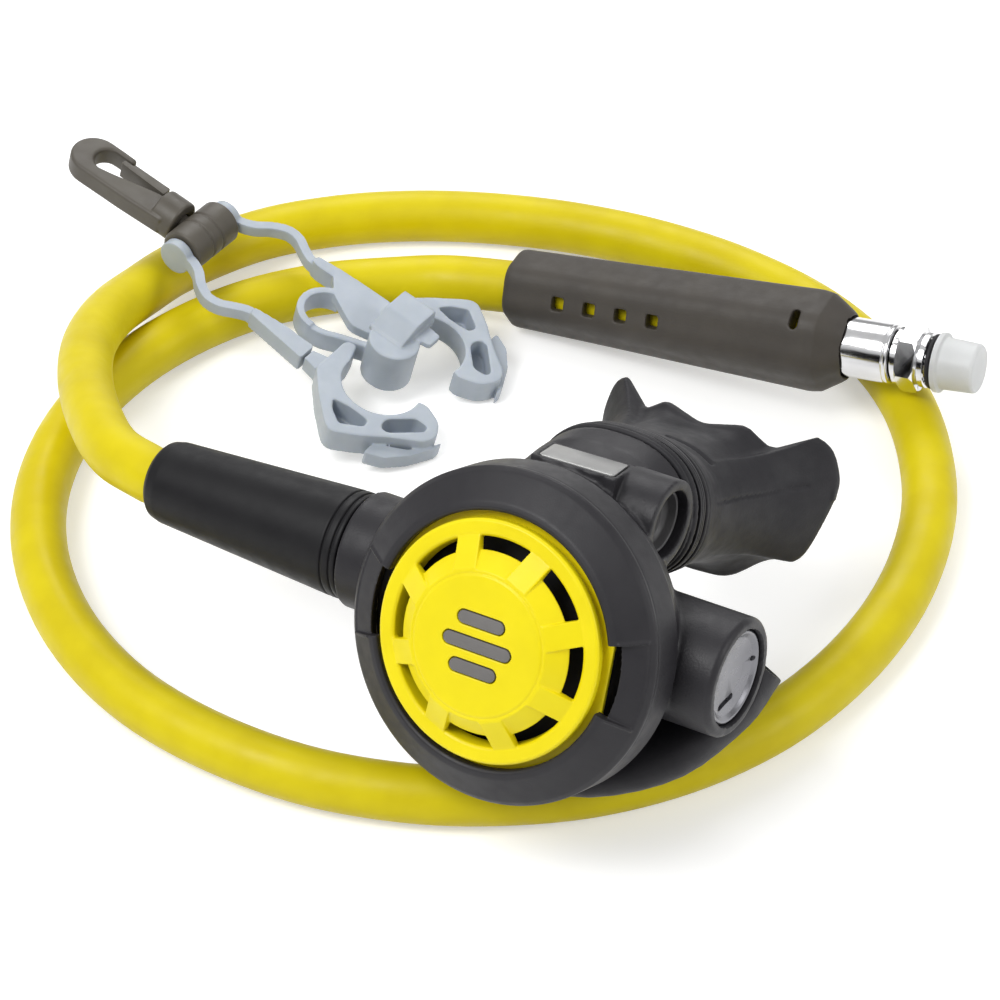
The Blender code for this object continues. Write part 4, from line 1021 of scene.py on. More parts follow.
    def tee(self) -> bpy.types.Object:
        """Mould the banana-shaped exhaust duct, cut away where the case fits it."""
        stations = ((-37.0, 20, -2.0, 8.0, 6.0), (-33.5, 16, -10.5, 11.4, 6.8), (-26, 12, -17.4, 17, 7.2),
                    (-14, 8.8, -21.8, 20.8, 7.4), (0, 8.6, -23.2, 21.5, 7.2), (14, 8.8, -21.8, 20.8, 7.4),
                    (26, 12, -17.4, 17, 7.2), (33.5, 16, -10.5, 11.4, 6.8), (37.0, 20, -2.0, 8.0, 6.0))
        tee = skinned("exhaust_duct", smooth_rings(duct_rings(stations, 0.0), 4))
        combine(tee, skinned("duct_hollow", smooth_rings(duct_rings(stations, 1.5, 3.0), 4)),
                turned("case_fit", [
            (-30, 0), (-30, 37), (-12.9, 37), (-12.9, 33.5), (-10.3, 33.5), (-3.8, 29.9), (3.2, 26.3),
            (9.2, 22.7),
            (12.8, 17.3), (13.9, 10.2), (13.9, 0)], Axis.Y),
            rod("barrel_fit", (-60, 0, 0), (60, 0, 0), self.barrel_r + GAP),
            rod("port_fit", port_point(4), port_point(17.2), self.port_r + GAP),
            rod("valve_fit", port_point(16), port_point(20.1), 9.5))
        return moulded(tee, 0.4, rounds=3, faces=0.5)

    def nameplate(self) -> bpy.types.Object:
        """Cut the bare plate on top of the case."""
        plate = slab("bare_nameplate",
                     rounded([(-8.4, 4.1), (7.9, 5.7), (10.0, -4.5), (-6.4, -6.1)], 0.8, True),
                     0, 0.6)
        plate.data.transform(Matrix.Translation((0, self.plate_at, self.case_r + 0.35)))
        return bevelled(plate, 0.12)

    def end_plug(self) -> bpy.types.Object:
        """Turn the dished plug in the barrel's end, with its key slot and bleed hole."""
        plug = turned("barrel_end_plug", [
            (36.4, 0), (36.4, 9.2), (38.4, 9.2), (38.4, 8.3), (39.4, 8.3), (39.4, 9.9), (41.0, 9.9),
            (41.25, 9.5),
            (41.1, 9.1), (40.4, 8.2), (40.0, 5.0), (39.8, 0)], radius=0.15, steps=128)
        slot = slab("key_slot", arc((2.6, 0), 0.65, -90, 90, 10) + arc((-2.6, 0), 0.65, 90, 270, 10),
                    0.0, 5.0)
        slot.data.transform(Matrix.Translation((39.3, -0.3, -5.5)) @ turned_by(17, 0, 0).to_4x4()
                            @ turned_by(90, 0, 90).to_4x4())
        combine(plug, slot, rod("bleed_hole", (39.9, 7.9, 2.3), (44.0, 7.9, 2.3), 0.6, 24))
        return bevelled(plug, 0.08)


@dataclass
class PurgeCover:
    """The yellow push cover with its grey grip bars."""

    fitter: Fitter
    face: float = -33.3
    ring_face: float = -29.1
    radius: float = 24.8
    disc_r: float = 18.8
    ring_bore_r: float = 21.3
    spokes: int = 8
    steps: int = 160
    spoke_width: float = 5.2
    bars: tuple[tuple[float, float], ...] = ((-5.0, 5.2), (0.0, 7.6), (5.0, 5.2))

    def build(self) -> None:
        """Build the cover and its bars, and dress them."""
        cover = self.cover()
        for index, (offset, half) in enumerate(self.bars):
            combine(cover, self.bar(f"pocket_{index}", offset, half, GAP, 1.2, -1.5))
            bar = bevelled(self.bar(f"grip_inlay_{index}", offset, half, 0.0, 0.9, 0.0), 0.12)
            self.fitter.fit(bar, GREY_INSET, Body.PURGE, replaces=[f"grip_bar_{index}"])
        self.fitter.fit(moulded(cover, 0.2, rounds=3, faces=0.4), YELLOW_PLASTIC, Body.PURGE,
                        replaces=["purge_cover"])

    def bar(self, name: str, offset: float, half: float, grow: float, back: float, front: float
            ) -> bpy.types.Object:
        """Make one bar, or its pocket, standing in the cover's face.

        Args:
            name: The piece's name.
            offset: How far above the middle it lies.
            half: Half its length.
            grow: How much wider it is than the bar.
            back: How deep it reaches behind the face.
            front: How far behind the face it starts.

        Returns:
            The object, not placed yet.
        """
        outline = (arc((half - 1.3, offset), 1.3 + grow, -90, 90, 14)
                   + arc((1.3 - half, offset), 1.3 + grow, 90, 270, 14))
        bar = slab(name, outline, -back, -front)
        bar.data.transform(Matrix.Translation((0, self.face, 0)) @ Matrix.Rotation(math.pi / 2, 4, "X"))
        return bar

    def cover(self) -> bpy.types.Object:
        """Turn the raised centre and the outer ring, and join them with sloping spokes."""
        face, front, bore = self.face, self.ring_face, self.ring_bore_r
        cover = turned("purge_push_cover", [
            (-31.4, 0), (-31.4, 12.4), (-29.0, 17.6), (-28.9, 18.4), (-29.7, self.disc_r),
            (face + 0.75, 15.7),
            (face + 0.25, 15.2), (face + 0.15, 14.9), (face + 0.45, 14.6), (face, 14.2), (face, 0)], Axis.Y,
            steps=self.steps)
        ring = turned("cover_ring_guide", [
            (-23.9, 28.8), (-24.9, 28.8), (-25.0, 23.4), (front + 2.1, 23.4), (front + 2.0, self.radius),
            (front + 0.5, self.radius), (front, self.radius - 0.5),
            (front, bore + 0.6), (front + 0.4, bore), (-25.4, bore - 0.5), (-23.9, bore + 0.4)], Axis.Y,
            steps=self.steps)
        combine(ring, *(block(f"foot_notch_{side}", (min(25.4 * side, 29.5 * side), -26.0, -8.0),
                              (max(25.4 * side, 29.5 * side), -23.5, 8.0)) for side in (-1, 1)))
        return combine(cover, ring, *(self.spoke(index) for index in range(self.spokes)), add=True)

    def spoke(self, index: int) -> bpy.types.Object:
        """Make one spoke, a ramp from the shoulder of the raised centre to the ring."""
        half = self.spoke_width / 2
        turn = math.radians(360 * (index + 0.5) / self.spokes)
        c, n = math.cos(turn), math.sin(turn)
        rings = []
        for across in (-half, half):
            rings.append([(radius * c - across * n, y, radius * n + across * c) for radius, y in (
                (13.0, -32.6), (15.4, self.face + 0.25), (21.7, self.ring_face + 0.15), (22.0, -27.2),
                (18.2, -28.8), (13.0, -31.6))])
        return skinned(f"spoke_{index}", rings)


@dataclass
class Mouthpiece:
    """The soft mouthpiece on the neck, and the tie in its groove."""

    fitter: Fitter
    edge: tuple[Point, ...] = ((28.3, 25.0), (27.6, 29.6), (25.6, 33.9), (22.0, 35.9), (18.6, 33.8),
                               (15.4, 31.8),
                               (12.4, 33.3), (9.3, 35.1), (5.0, 34.4), (0.0, 33.4))
    foot: tuple[Point, ...] = ((27.0, 17.6), (24.9, 10.2), (22.6, 7.8), (20.4, 8.3), (17.6, 7.0),
                               (12.2, 2.8),
                               (6.5, 2.3), (0.0, 2.4))
    bow: float = 66.0
    face: float = 50.0
    steps: int = 120

    def build(self) -> None:
        """Build and dress the mouthpiece and its tie."""
        self.fitter.fit(self.mouthpiece(), BLACK_RUBBER, replaces=["mouthpiece"], sharp=55)
        self.fitter.fit(self.tie(), BLACK_PLASTIC, replaces=["mouthpiece_tie"])

    def flange(self, y: float, inset: float = 0.0) -> Ring:
        """Find the flange's wavy outline.

        Args:
            y: How far behind the case it lies.
            inset: How far inside the flange's edge it runs.

        Returns:
            The ring, started on the right and going over the top.
        """
        right = [*reversed(self.foot), *self.edge]
        whole = right + [(-x, z) for x, z in reversed(right[1:-1])]
        start = whole.index(self.edge[0])
        closed = [(x, z, 0) for x, z in whole[start:] + whole[:start]]
        path = smooth_path([closed[-1], *closed, closed[0], closed[1]], 24)[24:24 * (len(closed) + 1)]
        middle = 18.5
        ring = []
        for index in range(self.steps):
            angle = math.tau * index / self.steps
            point = min(path, key=lambda p: abs(math.remainder(
                math.atan2((p[1] - middle) / 16.5, p[0] / 27.0) - angle, math.tau)))
            shrink = 1 - inset / max(1.0, math.hypot(point[0], point[1] - middle))
            x, z = point[0] * shrink, middle + (point[1] - middle) * shrink
            ring.append(Vector((x, y + x * x / self.bow, z)))
        return ring

    def collar(self, y: float, z: float, half_width: float, half_height: float) -> Ring:
        """Make one oval ring of the collar or bell."""
        return oval(y, z, half_width, half_height, self.steps)

    def blend(self, ring: Ring, share: float) -> Ring:
        """Move a ring part of the way towards the flange's outline."""
        return [point.lerp(goal, share) for point, goal in zip(ring, self.flange(self.face))]

    def mouthpiece(self) -> bpy.types.Object:
        """Mould the collar, bell, flange, bore and bite tabs in one piece."""
        outer = [self.collar(*values) for values in (
            (14.4, 22.4, 18.1, 14.8), (14.7, 22.4, 18.3, 15.0), (15.3, 22.3, 18.5, 15.2),
            (15.5, 22.3, 17.9, 14.6), (15.8, 22.3, 17.9, 14.6), (16.0, 22.2, 18.6, 15.3),
            (17.1, 22.1, 18.8, 15.4), (17.4, 22.0, 17.5, 14.1), (21.0, 21.5, 17.5, 14.1),
            (21.3, 21.4, 18.8, 15.4), (22.4, 21.3, 18.8, 15.4), (22.7, 21.2, 18.1, 14.7),
            (23.0, 21.2, 18.1, 14.7), (23.2, 21.1, 18.6, 15.2), (25.0, 20.9, 18.5, 15.0),
            (26.8, 20.6, 18.2, 14.3), (29.5, 20.2, 17.9, 13.8), (31.0, 20.1, 17.9, 13.8))]
        bell = [self.collar(31.0, 20.1, 17.9, 13.8)]
        bell += [self.blend(self.collar(*values[:4]), values[4]) for values in (
            (38.0, 19.7, 18.2, 13.5, 0.08), (44.5, 19.2, 19.4, 13.2, 0.28), (48.2, 18.8, 21.4, 13.4, 0.62))]
        bell += [self.flange(self.face + 0.2)]
        outer += smooth_rings(bell, 4)[1:]
        outer += [self.flange(self.face + depth, inset)
                  for depth, inset in ((1.2, -0.25), (2.2, 0.1), (2.8, 1.2))]
        back = self.face + 2.6
        mouth = oval(back, 18.5, 13.5, 8.5, self.steps)
        rim = self.flange(back, 3.0)
        inner = [[a.lerp(b, share) for a, b in zip(rim, mouth)] for share in (0.3, 0.65, 1.0)]
        inner += [self.collar(*values) for values in ((29.0, 20.2, 13.8, 10.0), (28.0, 20.4, 16.3, 12.9),
                                                      (14.4, 22.4, 16.3, 12.9))]
        piece = skinned("mouthpiece_moulding", outer + inner, looped=True)
        combine(piece, *self.tabs(), self.nub(), add=True)
        combine(piece, self.groove(piece), self.parting_line(piece))
        return moulded(piece, 0.34, rounds=2, faces=0.5)

    def tabs(self) -> list[bpy.types.Object]:
        """Make the two bite tabs."""
        made = []
        for side in (-1, 1):
            rings = []
            for y, near, far, low, high in ((52.0, 16.0, 22.4, 11.0, 26.0), (63.0, 17.2, 20.6, 11.6, 25.4),
                                            (65.0, 15.8, 22.0, 10.8, 26.2), (69.5, 16.6, 21.2, 11.6, 25.4)):
                corners = rounded([(near, low), (far, low), (far, high), (near, high)], 1.6, True)
                rings.append([(side * p[0], y + p[0] ** 2 / self.bow, p[1]) for p in corners])
            made.append(skinned(f"bite_tab_{side}", rings))
        return made

    def nub(self) -> bpy.types.Object:
        """Make the small gate mark on the flange's edge."""
        x = 27.6
        return block("gate_mark", (x - 1.0, -0.9, -1.1), (x + 0.9, 0.9, 1.1), None,
                     (0, self.face + 1.2 + x * x / self.bow, 23.9))

    def groove(self, piece: bpy.types.Object) -> bpy.types.Object:
        """Make the cutter of the oblong groove on top of the bell."""
        line = [(0.7 + 1.18 * step, 33.0, 34.2 - 0.36 * step) for step in range(11)]
        return bead("top_groove", on_surface(piece, line, -0.05), 0.9)

    def parting_line(self, piece: bpy.types.Object) -> bpy.types.Object:
        """Make the cutter of the fine line that the mould's halves leave along the bell."""
        line = [(20.0 + 1.15 * step, 28.0 + 3.8 * step, 25.5 + 0.17 * step) for step in range(8)]
        return bead("parting_line", on_surface(piece, line, 0.0), 0.45)

    def tie(self) -> bpy.types.Object:
        """Make the flat tie round the collar, with three fine ribs."""
        sizes = ((18.2, 0.9), (18.35, 1.0), (18.8, 1.0), (18.95, 0.75), (19.1, 1.0), (19.5, 1.0),
                 (19.65, 0.75),
                 (19.8, 1.0), (20.25, 1.0), (20.4, 0.9), (20.4, 0.0), (18.2, 0.0))
        rings = [self.collar(y, 21.75, 17.8 + out, 14.4 + out) for y, out in sizes]
        return skinned("mouthpiece_strap", rings, looped=True)


@dataclass
class HoseInlet:
    """The rubber sleeve over the hose joint."""

    fitter: Fitter
    end: float = -97.6
    wide: float = 11.6
    narrow: float = 8.9

    def build(self) -> None:
        """Build and dress the sleeve."""
        sleeve = turned("hose_joint_sleeve", [
            (-46.6, 10.3), (-46.6, self.wide - 0.5), (-46.9, self.wide), (-47.8, self.wide),
            (-48.0, self.wide - 0.4), (-48.2, self.wide - 0.4), (-48.4, self.wide), (-49.9, self.wide),
            (-50.1, self.wide - 0.4), (-50.3, self.wide - 0.4), (-50.5, self.wide - 0.02),
            (self.end + 3.4, self.narrow + 0.15), (self.end + 1.2, self.narrow - 0.4),
            (self.end + 0.2, self.narrow - 1.4), (self.end, self.narrow - 2.1), (self.end, 6.5),
            (-84.7, 6.5), (-84.7, 7.9), (-62.0, 7.9), (-62.0, 10.2)], steps=128, radius=0.4)
        self.fitter.fit(sleeve, SLEEVE_RUBBER, replaces=["hose_sleeve"])


# ---------------------------------------------------------------- hose end

@dataclass
class HoseEnd:
    """The protector on the hose's end, the chrome fitting and its cap."""

    fitter: Fitter
    length: float = 84.8
    bore_r: float = 6.6
    windows: int = 4
    first_window: float = 14.8
    window_pitch: float = 8.1
    slot_at: float = 73.8
    sides: int = 72
    neck_gap: float = 11.2

    @property
    def neck(self) -> float:
        """Where the fitting starts behind the ferrule."""
        return self.length + self.neck_gap

    def build(self) -> list[bpy.types.Object]:
        """Build and dress the pieces.

        Returns:
            The pieces, which hold on to the hose.
        """
        fit = self.fitter.fit
        return [fit(self.protector(), OLIVE_RUBBER, replaces=["hose_protector"]),
                fit(self.ferrule(), CHROME, replaces=["hose_ferrule"], sharp=30),
                fit(self.fitting(), CHROME, replaces=["hose_fitting"], sharp=30),
                fit(self.seal(), BLACK_RUBBER, replaces=["fitting_o_ring"]),
                fit(self.cap(), CAP_PLASTIC, Body.CAP, replaces=["thread_cap"])]

    def section(self, x: float, radius: float) -> Ring:
        """Make one ring of the protector, a circle with six soft flats."""
        ring = []
        for index in range(self.sides):
            angle = math.tau * (index + 0.5) / self.sides
            flat = 1.0 + 0.035 * math.cos(6 * angle)
            ring.append(Vector((x, radius * flat * math.cos(angle), radius * flat * math.sin(angle))))
        return ring

    def protector(self) -> bpy.types.Object:
        """Mould the protector with its row of square windows and its slot."""
        face = self.length
        rings = [self.section(*station) for station in (
            (0.0, 7.4), (0.3, 8.2), (1.0, 8.8), (2.0, 9.0), (22.0, 9.6), (51.0, 10.6), (face - 9.0, 11.4),
            (face - 7.8, 11.35), (face - 5.6, 11.0), (face - 1.2, 8.3), (face - 0.4, 7.7), (face, 7.35))]
        body = combine(skinned("protector_body", rings),
                       rod("hose_bore", (-3, 0, 0), (face - 3.0, 0, 0), self.bore_r),
                       rod("ferrule_bore", (face - 3.2, 0, 0), (face + 3, 0, 0), 7.25))
        cuts = [self.window(index) for index in range(self.windows)]
        slot = slab("oblong_slot", arc((0, 1.4), 1.0, 0, 180, 12) + arc((0, -1.4), 1.0, 180, 360, 12), 0, 16)
        slot.data.transform(Matrix.Translation((self.slot_at, 0, 0)) @ turned_by(32, 0, 0).to_4x4())
        cuts.append(slot)
        for cut in cuts:
            cut.name = f"cut_{cut.name}"
        combine(body, *cuts)
        return moulded(body, 0.3, rounds=2, faces=0.5)

    def window(self, index: int) -> bpy.types.Object:
        """Make the cutter of one square window."""
        x = self.first_window + self.window_pitch * index
        return block(f"window_{index}", (x - 1.5, -14.0, -1.6), (x + 1.5, 0, 1.6), turned_by(-23, 0, 0))

    def ferrule(self) -> bpy.types.Object:
        """Turn the crimped ferrule."""
        face = self.length
        return turned("crimped_ferrule", [
            (face - 2.0, 2.8), (face - 2.0, 6.9), (face + 9.4, 6.9), (face + 9.7, 6.7), (face + 10.0, 6.9),
            (face + 10.6, 6.85), (face + 10.9, 6.4), (face + 10.9, 2.8)], steps=128, radius=0.2)

    def fitting(self) -> bpy.types.Object:
        """Turn the fitting with its collars, chamfered hex and thread."""
        neck = self.neck
        thread = []
        for index in range(6):
            start = neck + 10.0 + 1.27 * index
            thread += [(start, 4.1), (start + 0.5, 4.6), (start + 0.75, 4.6)]
        fitting = turned("port_fitting", [
            (neck, 2.5), (neck, 5.8), (neck + 0.5, 5.8), (neck + 0.5, 6.6), (neck + 1.4, 6.6),
            (neck + 1.4, 5.9), (neck + 6.4, 5.9), (neck + 6.7, 6.3), (neck + 7.9, 6.3), (neck + 8.2, 5.9),
            (neck + 8.2, 4.0),
            *thread, (neck + 17.7, 4.6), (neck + 18.3, 4.1), (neck + 18.3, 2.5)], steps=128)
        nut = turned("fitting_hex_guide", [(neck + 1.7, 3.0), (neck + 1.7, 8.0), (neck + 6.1, 8.0),
                                           (neck + 6.1, 3.0)], steps=6)
        chamfer = turned("hex_chamfer", [(neck + 1.0, 3.1), (neck + 1.0, 6.6), (neck + 2.5, 8.1),
                                         (neck + 5.3, 8.1), (neck + 6.8, 6.6), (neck + 6.8, 3.1)])
        step = nut.modifiers.new("chamfer", "BOOLEAN")
        step.operation = "INTERSECT"
        step.solver = "EXACT"
        step.object = chamfer
        apply_modifiers(nut)
        bpy.data.objects.remove(chamfer, do_unlink=True)
        combine(fitting, nut, add=True)
        return bevelled(fitting, 0.1, 25.0)

    def seal(self) -> bpy.types.Object:
        """Turn the O-ring in the fitting's groove."""
        neck = self.neck
        return turned("port_seal",
                      [(neck + 8.5, 4.3), (neck + 8.5, 6.3), (neck + 9.5, 6.3), (neck + 9.5, 4.3)],
                      radius=0.45)

    def cap(self) -> bpy.types.Object:
        """Turn the push-on cap over the thread."""
        neck = self.neck
        cap = turned("milky_thread_cap", [
            (neck + 9.9, 0), (neck + 9.9, 6.9), (neck + 11.2, 6.9), (neck + 11.5, 6.0), (neck + 19.1, 5.7),
            (neck + 19.7, 5.2), (neck + 19.7, 0)], radius=0.3)
        return combine(cap, turned("cap_hollow", [(neck + 9.0, 0), (neck + 9.0, 4.95), (neck + 18.7, 4.9),
                                                  (neck + 18.7, 0)]))


# ---------------------------------------------------------------- clip

@dataclass
class RetainingClip:
    """The moulded clip: two jaws, the spring loop, the post with its saddle plate, and two arms."""

    fitter: Fitter
    top: float = 8.5
    base: float = 2.2
    jaw_centre: tuple[float, float] = (17.0, 8.5)
    jaw_bore_r: float = 9.5
    arm_low: float = 4.2
    arm_high: float = 7.2
    pad_at: float = 76.4
    arm_path: tuple[Point, ...] = (
        (50.0, 11.9), (53.2, 12.0), (56.3, 13.6), (59.2, 15.3), (62.6, 15.6), (66.2, 13.6), (69.0, 10.9),
        (72.4, 9.3), (76.4, 9.1))

    def build(self) -> None:
        """Build and dress the clip's three mouldings."""
        fit = self.fitter.fit
        fit(self.frame(), CLIP_PLASTIC, Body.CLIP, replaces=["clip_frame"])
        fit(self.arm(), CLIP_PLASTIC, Body.CLIP, replaces=["clip_arm"])
        fit(self.jaw(), CLIP_PLASTIC, Body.LEFT_JAW, replaces=["clip_jaw"])

    def jaw_outline(self, side: int) -> list[Vector]:
        """Find a jaw's outline: the round grip inside and the angular back outside."""
        inside = arc(self.jaw_centre, self.jaw_bore_r, 190, 0, 40)
        heel = [(27.2, 6.0), (28.2, 3.1), (31.0, 4.0)] if side > 0 else []
        back = [(30.8, 8.8), (31.0, 15.6), (25.4, 22.0), (18.6, 28.4), (16.4, 29.0), (11.0, 25.2),
                (6.0, 20.6),
                (-0.8, 15.6), (-1.8, 12.4), (0.6, 8.4), (5.6, 6.2)]
        corners = rounded([inside[-1], *heel, *back, inside[0]], 1.6)
        return [Vector((p[0], side * p[1])) for p in [*inside[1:-1], *corners]]

    def pockets(self, side: int) -> list[list[Vector]]:
        """Find the outlines of a jaw's two pockets."""
        first = [(22.2, 20.6), (18.0, 19.8), (12.6, 20.0), (12.0, 22.2), (16.8, 25.6), (20.4, 23.2)]
        second = [(9.8, 18.0), (9.4, 16.2), (5.0, 11.4), (1.6, 11.6), (1.2, 13.2), (7.0, 19.6), (8.8, 19.8)]
        return [[Vector((p[0], side * p[1])) for p in rounded(loop, 0.9, True)] for loop in (first, second)]

    def barb(self, side: int) -> list[Vector]:
        """Find the outline of the hooked lip outside a jaw."""
        corners = ((6.2, 21.2), (8.6, 23.4), (8.4, 26.6), (4.0, 24.4), (0.2, 19.6), (-2.8, 13.0),
                   (-2.6, 10.6),
                   (-1.2, 14.6), (2.0, 18.6))
        return [Vector((p[0], side * p[1])) for p in rounded(corners, 0.8, True)]

    def grip(self, name: str, side: int) -> bpy.types.Object:
        """Mould one jaw: pockets from above with a thin floor, and the lip."""
        jaw = slab(name, self.jaw_outline(side), self.base, self.top)
        combine(jaw, *(slab(f"{name}_pocket_{index}", loop, self.base + 1.2, self.top + 2)
                       for index, loop in enumerate(self.pockets(side))))
        return combine(jaw, slab(f"{name}_barb", self.barb(side), self.base, 6.0), add=True)

    def ribbon(self, points: Sequence[Point], half_width: float) -> list[tuple[float, float]]:
        """Find the outline of a strip of even width along a plan path."""
        path = [Vector((point[0], point[1], 0)) for point in points]
        left, right = [], []
        for index, point in enumerate(path):
            ahead = (path[min(index + 1, len(path) - 1)] - path[max(index - 1, 0)]).normalized()
            side = Vector((-ahead.y, ahead.x, 0)) * half_width
            left.append((point + side).xy[:])
            right.append((point - side).xy[:])
        return left + right[::-1]

    def wave(self, side: int) -> list[tuple[float, float]]:
        """Find the plan path of an arm."""
        return [(p.x, side * p.y) for p in smooth_path([(x, y, 0) for x, y in self.arm_path], 8)]

    def pivot(self, name: str, side: int) -> list[bpy.types.Object]:
        """Make the round pad at an arm's end and the pin that holds the barrel."""
        return [rod(f"{name}_pad", (self.pad_at, side * 7.9, 5.0), (self.pad_at, side * 10.3, 5.0), 4.1),
                rod(f"{name}_pin", (self.pad_at, side * 5.2, 5.0), (self.pad_at, side * 9.3, 5.0), 2.0)]

    def frame(self) -> bpy.types.Object:
        """Mould the right jaw, the loop, the post and the right arm."""
        frame = self.grip("clip_moulding", -1)
        turns = [(p.x, p.y) for p in smooth_path(
            [(40.6, 5.4, 0), (37.0, 5.0, 0), (32.8, 3.0, 0), (28.6, 1.2, 0), (26.0, 0.0, 0)], 6)]
        plates = (
            ("plate", rounded([(29.0, -13.0), (33.0, -11.0), (50.0, -10.4), (52.4, -11.0), (52.0, -13.2),
                               (44.0, -13.9), (31.0, -14.0)], 0.8, True), 3.2, 8.0),
            ("shoulder", rounded([(27.0, -13.6), (38.0, -13.4), (46.5, -11.6), (42.0, -6.0), (33.4, -1.2),
                                  (25.5, -3.0)], 1.5, True), 5.4, 8.0),
            ("loop", self.ribbon(arc((40.0, -1.0), 6.4, -84, 92, 56), 0.9), 2.4, 8.0),
            ("strip", self.ribbon(turns, 0.9), 2.4, 7.6),
            ("wave", self.ribbon(self.wave(-1), 1.2), self.arm_low, self.arm_high))
        parts = [slab(f"frame_{name}", outline, low, high) for name, outline, low, high in plates]
        parts += [rod("post", (21.0, 0, 2.6), (21.0, 0, 13.6), 6.0), self.saddle(),
                  *self.pivot("frame", -1)]
        combine(frame, *parts, add=True)
        return moulded(frame, 0.24, rounds=3, faces=0.45)

    def saddle(self) -> bpy.types.Object:
        """Make the thumb pad on the post, a sloping block on a flat plate."""
        corners = ((28.0, 1.0), (19.6, -0.2), (19.0, -3.6), (14.0, -4.4), (14.0, -8.6), (18.0, -9.2),
                   (18.0, -12.0),
                   (27.6, -12.0))
        saddle = slab("saddle", rounded(corners, 0.8, True), 12.6, 14.0)
        side = rounded([(-12.0, 12.8), (-12.0, 16.4), (-11.4, 16.8), (-4.4, 16.8), (1.0, 14.0), (1.0, 12.8)],
                       0.7, True)
        pad = slab("thumb_pad", side, 18.3, 27.4)
        pad.data.transform(Matrix(((0, 0, 1, 0), (1, 0, 0, 0), (0, 1, 0, 0), (0, 0, 0, 1))))
        return combine(saddle, pad, add=True)

    def arm(self) -> bpy.types.Object:
        """Mould the left arm with its flat root."""
        arm = slab("left_arm_moulding", self.ribbon(self.wave(1), 1.2), self.arm_low, self.arm_high)
        strip = rounded([(35.4, 10.4), (35.4, 15.6), (44.0, 14.4), (52.0, 13.2), (52.4, 10.9), (44.0, 10.1)],
                        0.6, True)
        combine(arm, slab("arm_root", strip, 3.4, 7.8), *self.pivot("arm", 1), add=True)
        return moulded(arm, 0.2, rounds=3, faces=0.45)

    def jaw(self) -> bpy.types.Object:
        """Mould the left jaw with its springing root."""
        jaw = self.grip("left_jaw_moulding", 1)
        root = [(28.0, 9.4), (28.0, 16.2), (34.9, 14.6), (34.9, 11.2)]
        combine(jaw, slab("jaw_root", root, 3.4, 7.4), add=True)
        return moulded(jaw, 0.22, rounds=3, faces=0.45)


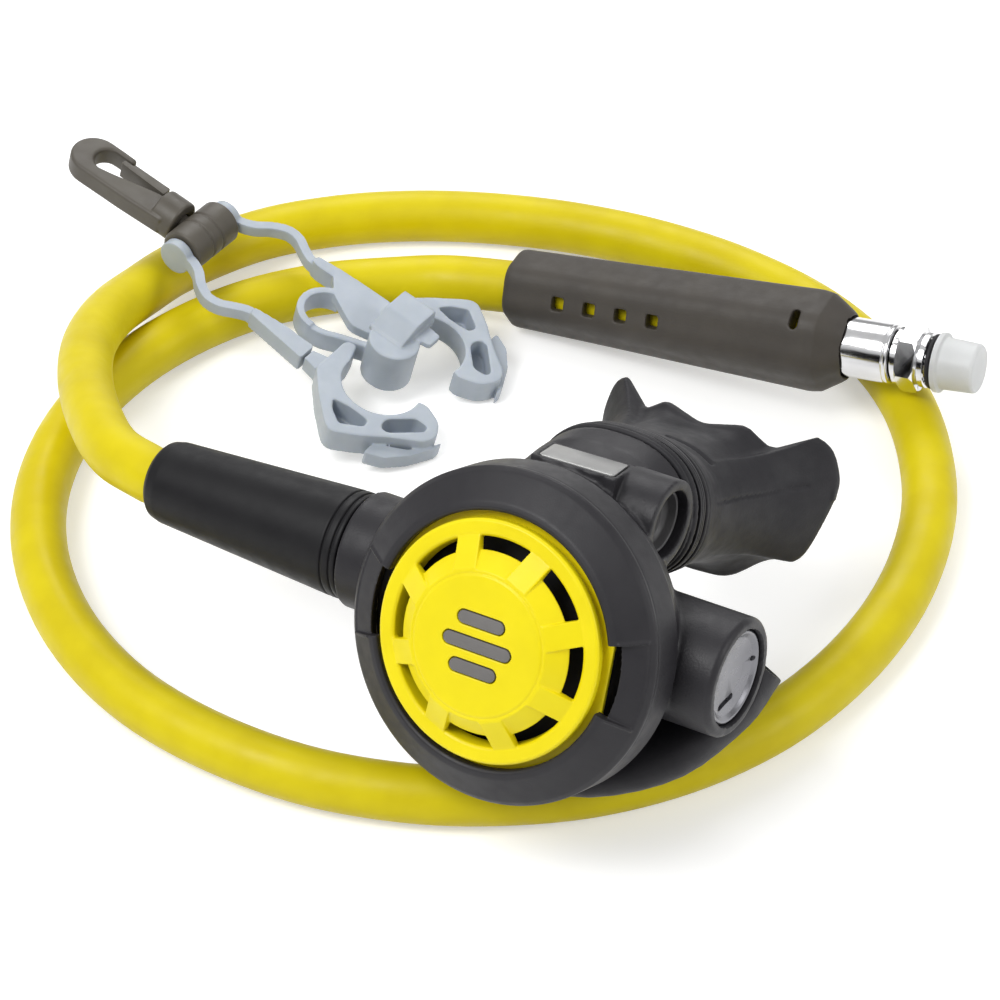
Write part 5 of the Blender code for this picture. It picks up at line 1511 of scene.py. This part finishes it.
@dataclass
class SnapHook:
    """The hook's barrel, the turning hook and its sprung gate."""

    fitter: Fitter
    axis: tuple[float, float, float] = (76.4, 0.0, 5.0)
    turn_at: float = 6.6

    def build(self) -> None:
        """Build and dress the hook's three pieces."""
        fit = self.fitter.fit
        fit(self.barrel(), OLIVE_PLASTIC, Body.BARREL, replaces=["hook_barrel"])
        fit(self.hook(), OLIVE_PLASTIC, Body.HOOK, replaces=["snap_hook"])
        fit(self.gate(), OLIVE_PLASTIC, Body.GATE, replaces=["hook_gate"])

    def at(self, item: bpy.types.Object, shift: Point = (0, 0, 0)) -> bpy.types.Object:
        """Move a piece from the hook's own axis to its place on the clip."""
        item.data.transform(Matrix.Translation(Vector(self.axis) + Vector(shift)))
        return item

    def barrel(self) -> bpy.types.Object:
        """Mould the ribbed barrel with its neck."""
        ribs = [(-7.6, 0), (-7.6, 5.0), (-7.2, 5.4), (-2.2, 5.4), (-1.9, 5.1), (-1.5, 5.1), (-1.2, 5.4),
                (1.2, 5.4),
                (1.5, 5.1), (1.9, 5.1), (2.2, 5.4), (7.2, 5.4), (7.6, 5.0), (7.6, 0)]
        barrel = turned("ribbed_barrel", ribs, Axis.Y)
        combine(barrel, rod("neck", (4, 0, 0), (9.0, 0, 0), 2.2),
                rod("head", (8.0, 0, 0), (10.0, 0, 0), 3.3),
                add=True)
        combine(barrel, rod("bore_a", (0, -9, 0), (0, -4.9, 0), 2.3),
                rod("bore_b", (0, 4.9, 0), (0, 9, 0), 2.3))
        return self.at(moulded(barrel, 0.2, rounds=1, faces=0.45))

    def hook(self) -> bpy.types.Object:
        """Mould the hook with its collar."""
        outline = [(2.0, -5.2), (6.4, -5.0), (6.4, -1.9), (8.0, -1.7), (21.0, 1.8),
                   *arc((22.9, -1.25), 3.45, 90, -90, 24), (18.1, -4.7),
                   (18.1, -6.3), (22.0, -6.4), *arc((26.0, -0.3), 6.1, -90, 90, 36), (14.0, 5.7), (2.0, 5.2)]
        hook = bevelled(slab("hook_moulding", outline, -2.5, 2.5), 0.7, 50.0, 3)
        combine(hook,
                turned("collar", [(-0.8, 0), (-0.8, 4.8), (-0.4, 5.2), (5.2, 5.2), (5.6, 4.8), (5.6, 0)]),
                add=True)
        combine(hook, rod("neck_bore", (-2.0, 0, 0), (3.0, 0, 0), 2.5),
                rod("head_bore", (1.1, 0, 0), (3.7, 0, 0), 3.6))
        return self.at(moulded(hook, 0.22, rounds=3, faces=0.45), (self.turn_at, 0, 0))

    def gate(self) -> bpy.types.Object:
        """Mould the sprung gate."""
        outline = rounded([(-0.3, -1.2), (10.2, -1.2), (10.4, -0.65), (13.0, -0.65), (13.0, 0.7),
                           (-0.3, 1.3)],
                          0.3, True)
        gate = bevelled(slab("gate_moulding", outline, -2.1, 2.1), 0.35, 50.0, 3)
        return self.at(gate, (self.turn_at + 7.4, -3.7, 0))


@dataclass(frozen=True)
class Carried:
    """The inner pieces that keep their CAD shape."""

    finishes: tuple[tuple[str, Finish], ...]

    def build(self) -> None:
        """Dress every carried-over node."""
        for name, finish in self.finishes:
            node = bpy.data.objects[name]
            node.data.materials.clear()
            node.data.materials.append(finish.material())
            log.info("%s: carried over in %s", name, finish.name)


def main() -> None:
    """Build the studio and every sub-assembly, and report each piece."""
    logging.basicConfig(level=logging.INFO, format="%(name)s: %(message)s")
    Studio().build()
    end_pieces = HoseEnd(Fitter(HOSE_END)).build()
    Hose().build(end_pieces)
    stage = Fitter(STAGE)
    Shell(stage).build()
    PurgeCover(stage).build()
    Mouthpiece(stage).build()
    HoseInlet(stage).build()
    clip = Fitter(CLIP)
    RetainingClip(clip).build()
    SnapHook(clip).build()
    Carried((("diaphragm", BLACK_RUBBER), ("slip_washer", CAP_WASHER), ("diaphragm_plate", DARK_INTERIOR),
             ("valve_tube", BRASS), ("orifice", BRASS), ("poppet", CAP_WASHER),
             ("poppet_seat", BLACK_RUBBER), ("stem_nut", BRASS), ("spring_collar", STEEL),
             ("poppet_spring", STEEL), ("lever", STEEL), ("exhaust_valve", BLACK_RUBBER),
             ("inlet_o_ring", BLACK_RUBBER), ("inlet_nut", CHROME),
             ("hose_stem", CHROME))).build()


if __name__ == "__main__":
    main()
